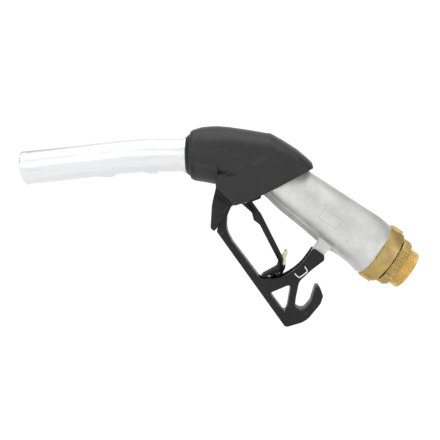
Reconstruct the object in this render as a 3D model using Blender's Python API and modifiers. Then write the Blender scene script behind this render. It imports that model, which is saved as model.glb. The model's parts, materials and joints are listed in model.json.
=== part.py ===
"""Automatic high-flow fuel nozzle, as separate pieces.

Sizes are in millimetres, and MM turns them into metres where a mesh or a place is written.
+X points back to the hose, -X along the spout, +Z up, and Y = 0 is the plane of symmetry.
The origin is the centre of the threaded end that takes the hose. Two directions are used:
the grip's axis climbs from the origin by TILT, and the spout's socket is level.
"""
import math

import bmesh
import bpy
from mathutils import Matrix, Vector

MM = 0.001

# ---------------------------------------------------------------- driving sizes
TILT = 33.1                 # slope of the grip's axis, in degrees
FIT = 0.3                   # clearance between pieces that touch

THREAD_RADIUS = 24.0        # hose thread, outside
THREAD_LENGTH = 14.4
INLET_BORE = 18.0
FLANGE_RADIUS = 29.5        # serrated flange of the swivel
FLANGE_END = 25.5
LUG_REACH = 3.0             # lugs on the flange
LUG_WIDTH = 14.0
NECK_RADIUS = 21.8
NECK_END = 40.0
RING_START = 27.0           # wide brass ring
RING_END = 45.0
RING_RADIUS = 32.6
PAD_HEIGHT = 2.4            # wrench pads on the ring
PAD_WIDTH = 18.0
SPIGOT_RADIUS = 27.0        # threaded end of the body, inside the ring
SPIGOT_START = 33.5

BODY_WALL = 5.0
KEEL_WIDTH = 7.0
HEAD_RADIUS = 25.4          # body round the spout's socket
SPOUT_HEIGHT = 136.5        # level of the socket's axis
NOSE_X = -253.0             # front face of the body
SOCKET_DEPTH = 28.0

SPOUT_RADIUS = 19.8
SPOUT_WALL = 1.8
SPOUT_TIP_X = -459.0
SPOUT_DROOP = 6.2           # slope of the spout's front run, in degrees
BEND_START_X = -292.0
BEND_END_X = -345.0
CATCH_HEIGHT = 2.6
CATCH_LENGTH = 22.0

HOOD_FRONT_X = -256.0

PIVOT = (-190.0, 85.0)      # lever's hinge
LEVER_WIDTH = 16.0
ROLLER_ARM = (14.0, 4.0)    # roller's axle from the hinge
ROLLER_RADIUS = 4.0
PIN_RADIUS = 2.5
LATCH_PIN = (-152.5, -4.8)
LATCH_PIN_RADIUS = 2.0
LATCH_WIDTH = 3.4
LATCH_SLOT = 9.0            # slot in the lever's foot, for the latch and its spring

GUARD_WIDTH = 27.0
CHANNEL_WIDTH = 20.0
CHEEK_WIDTH = 30.0          # body's fork for the lever's hinge, outside
CHEEK_GAP = 23.2
FAIRING_WIDTH = 33.0

SEAT_LEVEL = 30.0           # along the valve's axis from the roller
SEAT_RADIUS = 17.0
STEM_RADIUS = 3.2
CHAMBER_TOP = 66.0
WIRE_RADIUS = 1.05          # ratchet staple

ROUND = 24                  # sides of a turned piece
THROUGH = 60.0              # length of a cutter that crosses the whole width

# ---------------------------------------------------------------- scene and helpers
for old in list(bpy.data.objects):
    bpy.data.objects.remove(old, do_unlink=True)

parts = bpy.data.collections.new("fuel_nozzle")
tools = bpy.data.collections.new("cutters")
bpy.context.scene.collection.children.link(parts)
bpy.context.scene.collection.children.link(tools)


def finish_of(name, colour, roughness, metallic):
    """A Principled material."""
    material = bpy.data.materials.new(name)
    material.use_nodes = True
    shader = material.node_tree.nodes["Principled BSDF"]
    shader.inputs["Base Color"].default_value = (*colour, 1.0)
    shader.inputs["Roughness"].default_value = roughness
    shader.inputs["Metallic"].default_value = metallic
    return material


FINISHES = {
    "spout_aluminium": ((0.83, 0.84, 0.85), 0.28, 1.0),
    "cast_aluminium": ((0.62, 0.62, 0.60), 0.46, 1.0),
    "rubber": ((0.022, 0.022, 0.024), 0.48, 0.0),
    "nylon": ((0.014, 0.014, 0.015), 0.42, 0.0),
    "brass": ((0.62, 0.46, 0.20), 0.38, 1.0),
    "steel": ((0.66, 0.66, 0.67), 0.30, 1.0),
    "zinc_yellow": ((0.74, 0.66, 0.42), 0.36, 1.0),
    "acetal": ((0.80, 0.79, 0.74), 0.45, 0.0),
    "seal_rubber": ((0.03, 0.03, 0.03), 0.60, 0.0),
}


def dress(piece, finish):
    """Gives a piece a material of its own, named after the piece."""
    piece.data.materials.clear()
    piece.data.materials.append(finish_of(piece.name, *FINISHES[finish]))


def add(name, mesh, finish=None, parent=None):
    """A new object: a part when it has a finish, otherwise a cutter."""
    piece = bpy.data.objects.new(name, mesh)
    piece.parent = parent
    if finish is None:
        tools.objects.link(piece)
        piece.hide_render = True
        piece.display_type = "WIRE"
    else:
        parts.objects.link(piece)
        dress(piece, finish)
    return piece


def shade(mesh):
    """Smooth shading with creases at sharp edges."""
    mesh.shade_smooth()
    mesh.set_sharp_from_angle(angle=math.radians(35.0))


def axis_empty(name, place, turn_y=0.0, parent=None):
    """A parent for coaxial or moving pieces; turn_y turns it about Y."""
    empty = bpy.data.objects.new(name, None)
    tools.objects.link(empty)
    empty.location = Vector(place) * MM
    empty.rotation_euler = (0.0, math.radians(turn_y), 0.0)
    empty.empty_display_size = 0.01
    empty.parent = parent
    return empty


def turned(name, outline, finish=None, parent=None, steps=ROUND):
    """A turned shape about local Z; outline is (radius, height), down its outer side."""
    on_axis = outline[0][0] == 0.0
    mesh = bpy.data.meshes.new(name)
    points = [(radius * MM, 0.0, height * MM) for radius, height in outline]
    edges = [(i, i + 1) for i in range(len(points) - 1)]
    if not on_axis:
        edges.append((len(points) - 1, 0))
    mesh.from_pydata(points, edges, [])
    piece = add(name, mesh, finish, parent)
    screw = piece.modifiers.new("turn", "SCREW")
    screw.steps = steps
    screw.render_steps = steps
    screw.use_merge_vertices = True
    screw.merge_threshold = 0.00001
    return piece


def ring(name, inner, outer, low, high, finish=None, parent=None, steps=ROUND):
    """A plain round ring or sleeve."""
    outline = [(inner, high), (outer, high), (outer, low), (inner, low)]
    return turned(name, outline, finish, parent, steps)


def rod(name, radius, low, high, finish=None, parent=None, steps=ROUND):
    """A plain round bar."""
    outline = [(0.0, high), (radius, high), (radius, low), (0.0, low)]
    return turned(name, outline, finish, parent, steps)


def o_ring(name, radius, thickness, level, finish, parent, steps=ROUND, sides=6):
    """A ring of round section."""
    outline = []
    for i in range(sides):
        turn = math.radians(90.0) - math.tau * i / sides
        outline.append((radius + thickness * math.cos(turn), level + thickness * math.sin(turn)))
    return turned(name, outline, finish, parent, steps)


def pin_across(name, radius, length, place, finish, parent=None, steps=16):
    """A round pin along Y, centred on the plane of symmetry."""
    pin = rod(name, radius, -length / 2, length / 2, finish, parent, steps)
    pin.rotation_euler = (math.radians(90.0), 0.0, 0.0)
    pin.location = Vector((place[0], 0.0, place[1])) * MM
    return pin


def from_far_side(name, radius, reach, place):
    """A cutter for a blind hole: it comes in from +Y and ends reach beyond the middle."""
    cutter = pin_across(name, radius, THROUGH, place, None)
    cutter.location.y = (THROUGH / 2 - reach) * MM
    return cutter


def rounded(corners, steps=4):
    """An outline whose corners (x, z, radius) are turned into arcs; radius 0 stays sharp.

    An arc takes up less than half of either side that it joins.
    """
    outline = []
    count = len(corners)
    for i, (x, z, radius) in enumerate(corners):
        here = Vector((x, z))
        if radius == 0:
            outline.append(here)
            continue
        before = Vector(corners[i - 1][:2]) - here
        after = Vector(corners[(i + 1) % count][:2]) - here
        half = before.angle(after) / 2
        room = 0.49 * min(before.length, after.length)
        radius = min(radius, room * math.tan(half))
        before.normalize()
        after.normalize()
        centre = here + (before + after).normalized() * radius / math.sin(half)
        start = here + before * radius / math.tan(half) - centre
        end = here + after * radius / math.tan(half) - centre
        sweep = start.angle_signed(end)
        for k in range(steps + 1):
            turn = Matrix.Rotation(-sweep * k / steps, 2)
            outline.append(centre + turn @ start)
    return outline


def to_mesh(curve_object):
    """Turns a curve object into a welded mesh object with the same name and place."""
    name, parent = curve_object.name, curve_object.parent
    finish = curve_object.get("finish")
    bpy.context.view_layer.update()
    evaluated = curve_object.evaluated_get(bpy.context.evaluated_depsgraph_get())
    mesh = bpy.data.meshes.new_from_object(evaluated)
    matrix = curve_object.matrix_world.copy()
    bpy.data.objects.remove(curve_object, do_unlink=True)
    shape = bmesh.new()
    shape.from_mesh(mesh)
    bmesh.ops.remove_doubles(shape, verts=shape.verts, dist=0.000002)
    bmesh.ops.recalc_face_normals(shape, faces=shape.faces)
    shape.to_mesh(mesh)
    shape.free()
    mesh.name = name
    piece = add(name, mesh, finish, parent)
    piece.matrix_world = matrix
    return piece


def plate(name, outlines, width, finish=None, parent=None, offset=0.0):
    """A flat outline in XZ, with holes, made width thick along Y."""
    curve = bpy.data.curves.new(name, "CURVE")
    curve.dimensions = "2D"
    curve.fill_mode = "BOTH"
    curve.extrude = width / 2 * MM
    for outline in outlines:
        spline = curve.splines.new("POLY")
        spline.points.add(len(outline) - 1)
        for point, (x, z) in zip(spline.points, outline):
            point.co = (x * MM, z * MM, 0.0, 1.0)
        spline.use_cyclic_u = True
    piece = bpy.data.objects.new(name, curve)
    bpy.context.scene.collection.objects.link(piece)
    piece.rotation_euler = (math.radians(90.0), 0.0, 0.0)
    piece.location = (0.0, offset * MM, 0.0)
    if finish:
        piece["finish"] = finish
    piece = to_mesh(piece)
    if parent:
        hang(piece, parent)
    return piece


def tube(name, path, radius, finish=None, resolution=2, cyclic=False):
    """A round wire or bar along a path of world points."""
    curve = bpy.data.curves.new(name, "CURVE")
    curve.dimensions = "3D"
    curve.bevel_depth = radius * MM
    curve.bevel_resolution = resolution
    curve.use_fill_caps = True
    spline = curve.splines.new("POLY")
    spline.points.add(len(path) - 1)
    for point, place in zip(spline.points, path):
        point.co = (*(Vector(place) * MM), 1.0)
    spline.use_cyclic_u = cyclic
    piece = bpy.data.objects.new(name, curve)
    bpy.context.scene.collection.objects.link(piece)
    if finish:
        piece["finish"] = finish
    return to_mesh(piece)


def hang(piece, parent):
    """Parents a piece without moving it."""
    bpy.context.view_layer.update()
    matrix = piece.matrix_world.copy()
    piece.parent = parent
    piece.matrix_parent_inverse = parent.matrix_world.inverted()
    piece.matrix_world = matrix


def block(name, low, high, finish=None, parent=None):
    """A box between two corners."""
    mesh = bpy.data.meshes.new(name)
    shape = bmesh.new()
    low, high = Vector(low), Vector(high)
    size = Matrix.Diagonal((*((high - low) * MM), 1.0))
    place = Matrix.Translation((low + high) / 2 * MM)
    bmesh.ops.create_cube(shape, size=1.0, matrix=place @ size)
    shape.to_mesh(mesh)
    shape.free()
    return add(name, mesh, finish, parent)


def combine(piece, others, operation):
    """One Boolean with all the others, which stay among the cutters."""
    group = bpy.data.collections.new(f"{piece.name}_{operation.lower()}")
    tools.children.link(group)
    for other in others:
        tools.objects.unlink(other)
        group.objects.link(other)
    boolean = piece.modifiers.new(operation.lower(), "BOOLEAN")
    boolean.operation = operation
    boolean.solver = "EXACT"
    boolean.operand_type = "COLLECTION"
    boolean.collection = group
    return piece


def cut(piece, *cutters):
    return combine(piece, cutters, "DIFFERENCE")


def join(piece, *others):
    return combine(piece, others, "UNION")


def on_grip(u, v, y=0.0):
    """The world point that lies u along the grip's axis and v above it."""
    slope = math.radians(TILT)
    x = -u * math.cos(slope) + v * math.sin(slope)
    z = u * math.sin(slope) + v * math.cos(slope)
    return Vector((x, y, z))


def oval(centre, slope, top, bottom, half_width, power=2.0, lower_power=2.0, sides=28):
    """One section of a loft: an oval across a direction that climbs by slope towards -X."""
    angle = math.radians(slope)
    up = Vector((math.sin(angle), 0.0, math.cos(angle)))
    points = []
    for i in range(sides):
        turn = math.tau * i / sides
        across, rise = math.cos(turn), math.sin(turn)
        bend = power if rise >= 0 else lower_power
        reach = top if rise >= 0 else bottom
        across = math.copysign(abs(across) ** (2.0 / bend), across)
        rise = math.copysign(abs(rise) ** (2.0 / bend), rise)
        points.append(Vector((centre[0], 0.0, centre[1])) + Vector((0.0, across * half_width, 0.0))
                      + up * rise * reach)
    return points


def loft(name, sections, finish=None):
    """A closed skin over sections with the same number of points."""
    mesh = bpy.data.meshes.new(name)
    shape = bmesh.new()
    rows = [[shape.verts.new(point * MM) for point in section] for section in sections]
    for row, after in zip(rows, rows[1:]):
        for i in range(len(row)):
            j = (i + 1) % len(row)
            shape.faces.new((row[i], row[j], after[j], after[i]))
    shape.faces.new(rows[0])
    shape.faces.new(rows[-1])
    bmesh.ops.recalc_face_normals(shape, faces=shape.faces)
    shape.to_mesh(mesh)
    shape.free()
    shade(mesh)
    return add(name, mesh, finish)


inlet_axis = axis_empty("inlet_axis", (0, 0, 0), TILT - 90.0)
socket_axis = axis_empty("socket_axis", (NOSE_X, 0, SPOUT_HEIGHT), -90.0)

# ---------------------------------------------------------------- hose inlet and swivel
# The nipple's thread takes the hose; its neck turns in the body behind the brass ring.
nipple = turned("swivel_nipple", [
    (INLET_BORE, NECK_END), (NECK_RADIUS, NECK_END), (NECK_RADIUS, FLANGE_END + 0.8),
    (FLANGE_RADIUS - 2.0, FLANGE_END), (FLANGE_RADIUS, FLANGE_END - 1.5),
    (FLANGE_RADIUS, THREAD_LENGTH + 1.2), (FLANGE_RADIUS - 1.2, THREAD_LENGTH),
    (THREAD_RADIUS, THREAD_LENGTH), (THREAD_RADIUS, 1.2), (THREAD_RADIUS - 1.2, 0.0),
    (INLET_BORE, 0.0)], "brass", inlet_axis)
nipple_lugs = []
for i in range(4):
    lug = block(f"nipple_lug_{i}", (FLANGE_RADIUS - 6.0, -LUG_WIDTH / 2, THREAD_LENGTH + 2.0),
                (FLANGE_RADIUS + LUG_REACH, LUG_WIDTH / 2, FLANGE_END - 2.0), None, inlet_axis)
    lug.rotation_euler = (0.0, 0.0, math.radians(45.0 + 90.0 * i))
    nipple_lugs.append(lug)
join(nipple, *nipple_lugs)

swivel_groove = (RING_START + SPIGOT_START) / 2
LIP_BORE = NECK_RADIUS + FIT
inlet_ring = turned("inlet_ring", [
    (LIP_BORE, SPIGOT_START - FIT), (SPIGOT_RADIUS + FIT, SPIGOT_START - FIT),
    (SPIGOT_RADIUS + FIT, RING_END), (RING_RADIUS, RING_END), (RING_RADIUS, RING_START + 1.2),
    (RING_RADIUS - 1.2, RING_START), (LIP_BORE, RING_START)], "brass", inlet_axis)
ring_pads = []
for i in range(4):
    pad = block(f"ring_pad_{i}", (RING_RADIUS - 4.0, -PAD_WIDTH / 2, RING_START + 3.5),
                (RING_RADIUS + PAD_HEIGHT, PAD_WIDTH / 2, RING_END - 0.6), None, inlet_axis)
    pad.rotation_euler = (0.0, 0.0, math.radians(90.0 * i))
    ring_pads.append(pad)
join(inlet_ring, *ring_pads)

# A retaining wire in a groove shared by the neck and the ring's lip lets the hose swivel.
RACE_RADIUS = 1.1
race_grooves = [o_ring(f"race_groove_{i}", LIP_BORE, RACE_RADIUS + FIT, swivel_groove, None, inlet_axis)
                for i in range(2)]
cut(inlet_ring, race_grooves[0])
o_ring("swivel_race", LIP_BORE, RACE_RADIUS, swivel_groove, "steel", inlet_axis)

SEAL_THICKNESS = 1.2
BODY_BORE = NECK_RADIUS + FIT
seal_level = NECK_END - 2.6
seal_groove = ring("seal_groove", NECK_RADIUS - 2 * SEAL_THICKNESS, NECK_RADIUS + 1.0,
                   seal_level - SEAL_THICKNESS - 0.2, seal_level + SEAL_THICKNESS + 0.2,
                   None, inlet_axis)
cut(nipple, race_grooves[1], seal_groove)
o_ring("swivel_seal", NECK_RADIUS - SEAL_THICKNESS + 0.1, SEAL_THICKNESS - 0.15, seal_level,
       "seal_rubber", inlet_axis)

# ---------------------------------------------------------------- body
# Sections of the casting: centre, slope, height above, depth below, half-width, lower power.
GRIP_TOP = 34.8


def grip_section(u, depth, half_width, grow=0.0, top=GRIP_TOP, power=2.0):
    centre = on_grip(u, 0.0)
    return ((centre.x, centre.z), TILT, top + grow, depth + grow, half_width + grow, power)


def body_sections(grow):
    """The body's skin, grown or shrunk all round."""
    level = SPOUT_HEIGHT
    radius = HEAD_RADIUS + grow
    return [
        grip_section(62.0, 31.0, 32.5, grow),
        grip_section(85.0, 28.6, 31.5, grow),
        grip_section(112.0, 25.4, 30.5, grow),
        grip_section(140.0, 22.0, 29.5, grow),
        grip_section(166.0, 19.4, 28.6, grow),
        ((-160.0, 104.0), 28.0, 36.5 + grow, 15.0 + grow, 28.0 + grow, 2.2),
        ((-178.0, 117.0), 18.0, 34.0 + grow, 17.0 + grow, 27.5 + grow, 2.4),
        ((-198.0, 128.0), 8.0, 31.0 + grow, 21.5 + grow, 26.8 + grow, 2.3),
        ((-216.0, 134.5), 2.0, 27.5 + grow, 24.4 + grow, 25.8 + grow, 2.0),
        ((-232.0, level), 0.0, radius, radius, radius, 2.0),
        ((NOSE_X - max(grow, 0.0), level), 0.0, radius, radius, radius, 2.0),
    ]


def skin(name, sections, first=None, finish=None):
    rows = [oval(c, s, t, b, w, lower_power=p) for c, s, t, b, w, p in sections]
    if first:
        rows = first + rows
    return loft(name, rows, finish)


def round_rows(grow, low, high):
    """The round end of the grip, where the ring's face seats."""
    rows = []
    for u, radius in ((low, RING_RADIUS), (high, 33.4)):
        centre = on_grip(u, 0.0)
        size = radius + grow
        rows.append(oval((centre.x, centre.z), TILT, size, size, size))
    return rows


BODY_START = RING_END + FIT
body = skin("body", body_sections(0.0), round_rows(0.0, BODY_START, 50.0), "cast_aluminium")
spigot = rod("spigot", SPIGOT_RADIUS, SPIGOT_START, BODY_START + 3.0, None, inlet_axis)

# Keel under the grip, and the lug that the guard's rear arm is pinned to.
keel = plate("keel", [rounded([
    (-172.0, 108.0, 0), (-172.0, 92.5, 3), (-156.0, 78.6, 20), (-104.5, 35.2, 8),
    (-66.0, 9.5, 4), (-60.0, 24.0, 0)])], KEEL_WIDTH)
FOOT_WIDTH = CHANNEL_WIDTH - 2 * FIT
LUG_HOLE = (-106.0, 16.6)
body_lug = plate("body_lug", [rounded([
    (-106.5, 46.0, 0), (-104.9, 34.6, 3), (-112.4, 22.0, 3), (-112.6, 13.8, 4), (-107.6, 10.9, 3),
    (-102.4, 14.0, 3), (-92.4, 24.4, 3), (-83.0, 33.0, 0)])], FOOT_WIDTH)

# Fork under the head: it holds the lever's hinge pin and the guard's front screw.
GUARD_SCREW = (-213.0, 84.5)
fork = plate("fork", [rounded([
    (-219.5, 124.0, 0), (-219.5, 80.5, 5), (-207.0, 78.4, 5), (-190.0, 79.6, 8),
    (-180.5, 85.6, 8), (-172.0, 112.0, 0)])], CHEEK_WIDTH)
fork_gap = block("fork_gap", (-230.0, -CHEEK_GAP / 2, 60.0), (-165.0, CHEEK_GAP / 2, 99.5))
cut(fork, fork_gap)
join(body, spigot, keel, body_lug, fork)

# The valve's axis climbs from the lever's roller into the head.
lean = math.degrees(math.atan2(ROLLER_ARM[1], ROLLER_ARM[0]))
roller_place = (PIVOT[0] + ROLLER_ARM[0], PIVOT[1] + ROLLER_ARM[1])
valve_axis = axis_empty("valve_axis", (roller_place[0], 0, roller_place[1]), -lean)

# Hollows: the grip's passage, the valve's chambers, the way out and the spout's socket.
passage = skin("passage", body_sections(-BODY_WALL)[:7])
inlet_bore = rod("inlet_bore", BODY_BORE, SPIGOT_START - 1.0, 66.0, None, inlet_axis)
upper_chamber = rod("upper_chamber", SEAT_RADIUS + FIT, SEAT_LEVEL, CHAMBER_TOP + 8.0, None, valve_axis)
CAP_RADIUS = SEAT_RADIUS + 2.6
cap_face = rod("cap_face", CAP_RADIUS + FIT, CHAMBER_TOP - FIT, CHAMBER_TOP + 12.0, None, valve_axis)
LOWER_RADIUS = 12.0
LOWER_FLOOR = 17.5
lower_chamber = rod("lower_chamber", LOWER_RADIUS, LOWER_FLOOR, SEAT_LEVEL + 1.0, None, valve_axis)
GLAND_RADIUS = 6.5
gland_hole = rod("gland_hole", GLAND_RADIUS + FIT, 5.0, LOWER_FLOOR + 1.0, None, valve_axis)
socket = rod("socket", SPOUT_RADIUS + FIT, -SOCKET_DEPTH, 5.0, None, socket_axis)
CHECK_DEPTH = 38.0
check_bore = rod("check_bore", 15.0, -CHECK_DEPTH, -SOCKET_DEPTH + 1.0, None, socket_axis)
way_out = tube("way_out", [(-181.0, 0, 113.5), (-221.0, 0, 130.0)], 8.5, None, 4)
cross_holes = [pin_across(f"cross_hole_{i}", PIN_RADIUS + FIT, THROUGH, place, None)
               for i, place in enumerate((PIVOT, GUARD_SCREW, LUG_HOLE))]
body_hollows = [passage, inlet_bore, upper_chamber, lower_chamber, gland_hole, socket, check_bore,
                cap_face, way_out, *cross_holes]

# ---------------------------------------------------------------- lever guard
# One moulding: a front bar, a web with a triangle hole, a U-channel arm and a hook.
guard = plate("lever_guard", [
    rounded([
        (-218.8, 95.0, 3), (-221.0, 66.0, 6), (-224.6, 45.6, 2), (-143.2, -67.6, 5), (-119.0, -60.0, 26),
        (-102.2, -39.0, 16), (-99.2, -29.6, 5), (-103.4, -18.4, 2), (-107.4, -18.8, 2),
        (-113.2, -38.0, 10), (-122.0, -48.6, 9), (-132.2, -43.6, 5), (-131.2, -32.0, 12),
        (-127.4, -12.6, 14), (-112.0, 2.0, 30), (-98.2, 12.6, 4), (-98.4, 18.4, 1.5), (-111.0, 26.8, 1.5),
        (-126.0, 5.6, 60), (-147.4, -8.6, 45), (-172.0, -11.6, 12),
        (-206.5, 33.5, 25), (-214.0, 48.0, 30), (-213.0, 64.0, 6), (-206.8, 78.0, 3), (-207.4, 92.0, 3)], 3),
    rounded([(-162.4, -27.0, 3), (-143.8, -51.8, 4), (-140.6, -44.0, 6), (-136.6, -18.6, 4),
             (-140.5, -17.4, 4)], 3)], GUARD_WIDTH, "nylon")
channel = plate("channel", [rounded([
    (-167.0, 20.0, 0), (-175.5, -11.0, 4), (-164.0, -18.2, 6), (-143.0, -13.8, 40), (-119.0, -0.2, 40),
    (-101.6, 13.6, 3), (-92.0, 21.2, 0), (-96.0, 40.0, 0), (-126.0, 40.0, 0)], 3)], CHANNEL_WIDTH)
tongue_sides = [block(f"tongue_side_{i}", (-240.0, low, 66.6), (-190.0, high, 110.0))
                for i, (low, high) in enumerate(((-20.0, -8.0), (8.0, 20.0)))]
STAPLE_LEGS = ((-121.0, 5.2), (-132.8, -3.2))
STAPLE_FEET = ((-117.6, -0.4), (-127.6, -8.2))
RIVETS = ((-180.4, -7.6), (-142.5, -10.2))
RIVET_RADIUS = 1.6
guard_holes = [pin_across(f"guard_hole_{i}", radius + FIT, THROUGH, place, None, steps=12)
               for i, (place, radius) in enumerate((
                   (GUARD_SCREW, PIN_RADIUS), (RIVETS[0], RIVET_RADIUS), (RIVETS[1], RIVET_RADIUS),
                   (STAPLE_LEGS[0], WIRE_RADIUS), (STAPLE_LEGS[1], WIRE_RADIUS)))]
# The rear pin goes in from the far side and stops short of the near one.
guard_holes.append(from_far_side("guard_pin_hole", PIN_RADIUS + FIT, GUARD_WIDTH / 2 - 1.5, LUG_HOLE))
cut(guard, channel, *tongue_sides, *guard_holes)
pin_across("guard_front_screw", PIN_RADIUS, CHEEK_WIDTH - 1.0, GUARD_SCREW, "steel")
rear_pin_length = GUARD_WIDTH - 2.0
rear_pin = pin_across("guard_rear_pin", PIN_RADIUS, rear_pin_length, LUG_HOLE, "steel")
rear_pin.location.y = (GUARD_WIDTH / 2 - rear_pin_length / 2) * MM
for number, place in zip(("front", "rear"), RIVETS):
    pin_across(f"guard_rivet_{number}", RIVET_RADIUS, GUARD_WIDTH + 0.6, place, "steel", steps=12)

# The staple's legs cross the channel as two rungs; its back lies on the near side.
staple_y = -(GUARD_WIDTH / 2 + FIT + WIRE_RADIUS)
tube("ratchet_staple", [
    (STAPLE_LEGS[0][0], GUARD_WIDTH / 2 + 0.5, STAPLE_LEGS[0][1]),
    (STAPLE_LEGS[0][0], staple_y, STAPLE_LEGS[0][1]), (STAPLE_FEET[0][0], staple_y, STAPLE_FEET[0][1]),
    (STAPLE_FEET[1][0], staple_y, STAPLE_FEET[1][1]), (STAPLE_LEGS[1][0], staple_y, STAPLE_LEGS[1][1]),
    (STAPLE_LEGS[1][0], GUARD_WIDTH / 2 + 0.5, STAPLE_LEGS[1][1])], WIRE_RADIUS, "steel", 2)

# ---------------------------------------------------------------- hood and fairing
# The hood is a rubber skin round the head, cut off along a line below the grip's top.
def hood_section(x, top, bottom, half_width, lower_power):
    middle = SPOUT_HEIGHT
    return oval((x, middle), 0.0, top - middle, middle - bottom, half_width, 2.0, lower_power)


HOOD_SECTIONS = [
    (HOOD_FRONT_X, 164.6, 108.4, 28.0, 2.0), (-252.0, 167.0, 106.0, 30.0, 2.0),
    (-243.0, 169.4, 104.6, 31.6, 2.1), (-226.0, 170.4, 100.0, 32.6, 2.3),
    (-220.0, 169.8, 60.0, 33.0, 3.4), (-200.0, 167.0, 55.0, 33.4, 3.2), (-180.0, 164.0, 60.0, 33.8, 3.0),
    (-167.0, 162.0, 70.0, 34.0, 2.8), (-150.0, 156.0, 80.0, 34.4, 2.6), (-136.0, 148.0, 90.0, 34.4, 2.4),
    (-123.0, 137.4, 95.0, 33.0, 2.2)]
hood_rows = [hood_section(*section) for section in HOOD_SECTIONS]
hood_rows.append(oval((-114.0, 122.0), 0.0, 8.0, 14.0, 27.0))
hood = loft("hood", hood_rows, "rubber")
HOOD_EDGE = [(-100.0, 125.6), (-112.4, 120.4), (-127.0, 112.2), (-155.0, 97.0), (-187.0, 81.6),
             (-203.0, 77.0), (-224.6, 98.0), (-224.6, 101.4), (-262.0, 107.0), (-262.0, 20.0),
             (-100.0, 20.0)]
below_edge = plate("below_edge", [HOOD_EDGE], 120.0)
mouth = ((HOOD_FRONT_X - 5.0, SPOUT_HEIGHT), 0.0, *(3 * [HEAD_RADIUS + FIT]), 2.0)
hood_fit = skin("hood_fit", body_sections(FIT) + [mouth], round_rows(FIT, BODY_START, 50.0))
SLOT_WIDTH = CHEEK_WIDTH + 2 * FIT
hood_slot = block("hood_slot", (-224.0, -SLOT_WIDTH / 2, 40.0), (-168.0, SLOT_WIDTH / 2, 125.0))
keel_room = block("keel_room", (-180.0, -KEEL_WIDTH / 2 - FIT, 60.0), (-120.0, KEEL_WIDTH / 2 + FIT, 110.0))
cap_room = rod("cap_room", CAP_RADIUS + 2 * FIT, 60.0, CHAMBER_TOP + 3.6, None, valve_axis)
cut(hood, below_edge, hood_fit, hood_slot, keel_room, cap_room)

fairing = plate("guard_fairing", [rounded([
    (-225.4, 98.2, 1), (-230.2, 78.0, 60), (-231.8, 50.0, 4), (-227.4, 46.0, 2), (-213.6, 66.4, 3),
    (-209.6, 73.4, 12), (-204.2, 77.6, 1)], 3)], FAIRING_WIDTH, "nylon")
fairing_gap = plate("fairing_gap", [[
    (-222.2, 110.0), (-222.6, 66.6), (-225.8, 44.0), (-190.0, 40.0), (-190.0, 66.3), (-190.0, 110.0)]],
    CHEEK_WIDTH + 2 * FIT)
fairing_top = block("fairing_top", (-222.2, -40.0, 99.0), (-219.0, 40.0, 120.0))
fairing_hole = from_far_side("fairing_hole", PIN_RADIUS + FIT, 0.0, GUARD_SCREW)
cut(fairing, fairing_gap, fairing_top, fairing_hole)

# ---------------------------------------------------------------- lever
lever_pivot = axis_empty("lever_pivot", (PIVOT[0], 0, PIVOT[1]))
lever = plate("lever", [rounded([
    (-197.0, 92.0, 6), (-196.4, 79.4, 6), (-183.4, 68.0, 6), (-181.2, 59.4, 2), (-174.0, 53.8, 3),
    (-151.6, 10.6, 5), (-153.0, 4.4, 4), (-172.2, -6.4, 1.2), (-170.6, -9.4, 1.4), (-146.6, -1.6, 2.5),
    (-146.4, 14.6, 8), (-172.0, 65.6, 12), (-184.0, 82.0, 6), (-184.4, 90.0, 4)], 3)],
    LEVER_WIDTH, "nylon")
hang(lever, lever_pivot)
latch_bore = pin_across("latch_bore", LATCH_PIN_RADIUS + FIT, THROUGH, LATCH_PIN, None, steps=12)
latch_slot = block("latch_slot", (-169.0, -LATCH_SLOT / 2, -16.0), (-138.0, LATCH_SLOT / 2, 34.0))
pin_across("lever_pivot_pin", PIN_RADIUS, CHEEK_WIDTH, PIVOT, "steel")

# The roller on the lever's upper arm lifts the valve's stem.
roller_gap = pin_across("roller_gap", ROLLER_RADIUS + 1.2, 8.0 + 2 * FIT, roller_place, None)
arm = plate("lever_arm", [rounded([
    (PIVOT[0] - 6.0, PIVOT[1] + 4.0, 3), (PIVOT[0] + 2.0, PIVOT[1] - 6.0, 3),
    (roller_place[0] + 3.6, roller_place[1] - 4.0, 3), (roller_place[0] + 3.0, roller_place[1] + 3.2, 3),
    (PIVOT[0] + 2.0, PIVOT[1] + 7.0, 3)], 3)], LEVER_WIDTH)
join(lever, arm)
AXLE_RADIUS = 1.5
axle_bore = pin_across("axle_bore", AXLE_RADIUS + FIT, THROUGH, roller_place, None, steps=12)
hinge_bore = pin_across("hinge_bore", PIN_RADIUS + FIT, THROUGH, PIVOT, None)
cut(lever, latch_bore, latch_slot, roller_gap, axle_bore, hinge_bore)
hang(pin_across("roller_axle", AXLE_RADIUS, LEVER_WIDTH, roller_place, "steel", steps=12), lever_pivot)
roller = ring("lever_roller", AXLE_RADIUS + FIT, ROLLER_RADIUS, -4.0, 4.0, "steel", None, 20)
roller.rotation_euler = (math.radians(90.0), 0.0, 0.0)
roller.location = Vector((roller_place[0], 0.0, roller_place[1])) * MM

# ---------------------------------------------------------------- hold-open latch
latch_axis = axis_empty("latch_axis", (LATCH_PIN[0], 0, LATCH_PIN[1]))
latch = plate("hold_latch", [rounded([
    (-164.6, -13.8, 1.2), (-160.8, -14.6, 1.2), (-156.0, -9.4, 4), (-148.4, -9.0, 3), (-143.2, 2.0, 3),
    (-142.8, 13.6, 2), (-140.4, 19.6, 2), (-142.4, 26.0, 1), (-147.4, 17.4, 2), (-146.6, 8.0, 3),
    (-155.6, -1.4, 3), (-160.0, -6.0, 4)], 3)], LATCH_WIDTH, "zinc_yellow")
hang(latch, latch_axis)
cut(latch, pin_across("latch_eye", LATCH_PIN_RADIUS + FIT, THROUGH, LATCH_PIN, None, steps=12))
hang(pin_across("latch_pin", LATCH_PIN_RADIUS, LEVER_WIDTH, LATCH_PIN, "steel", steps=12), lever_pivot)


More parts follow.
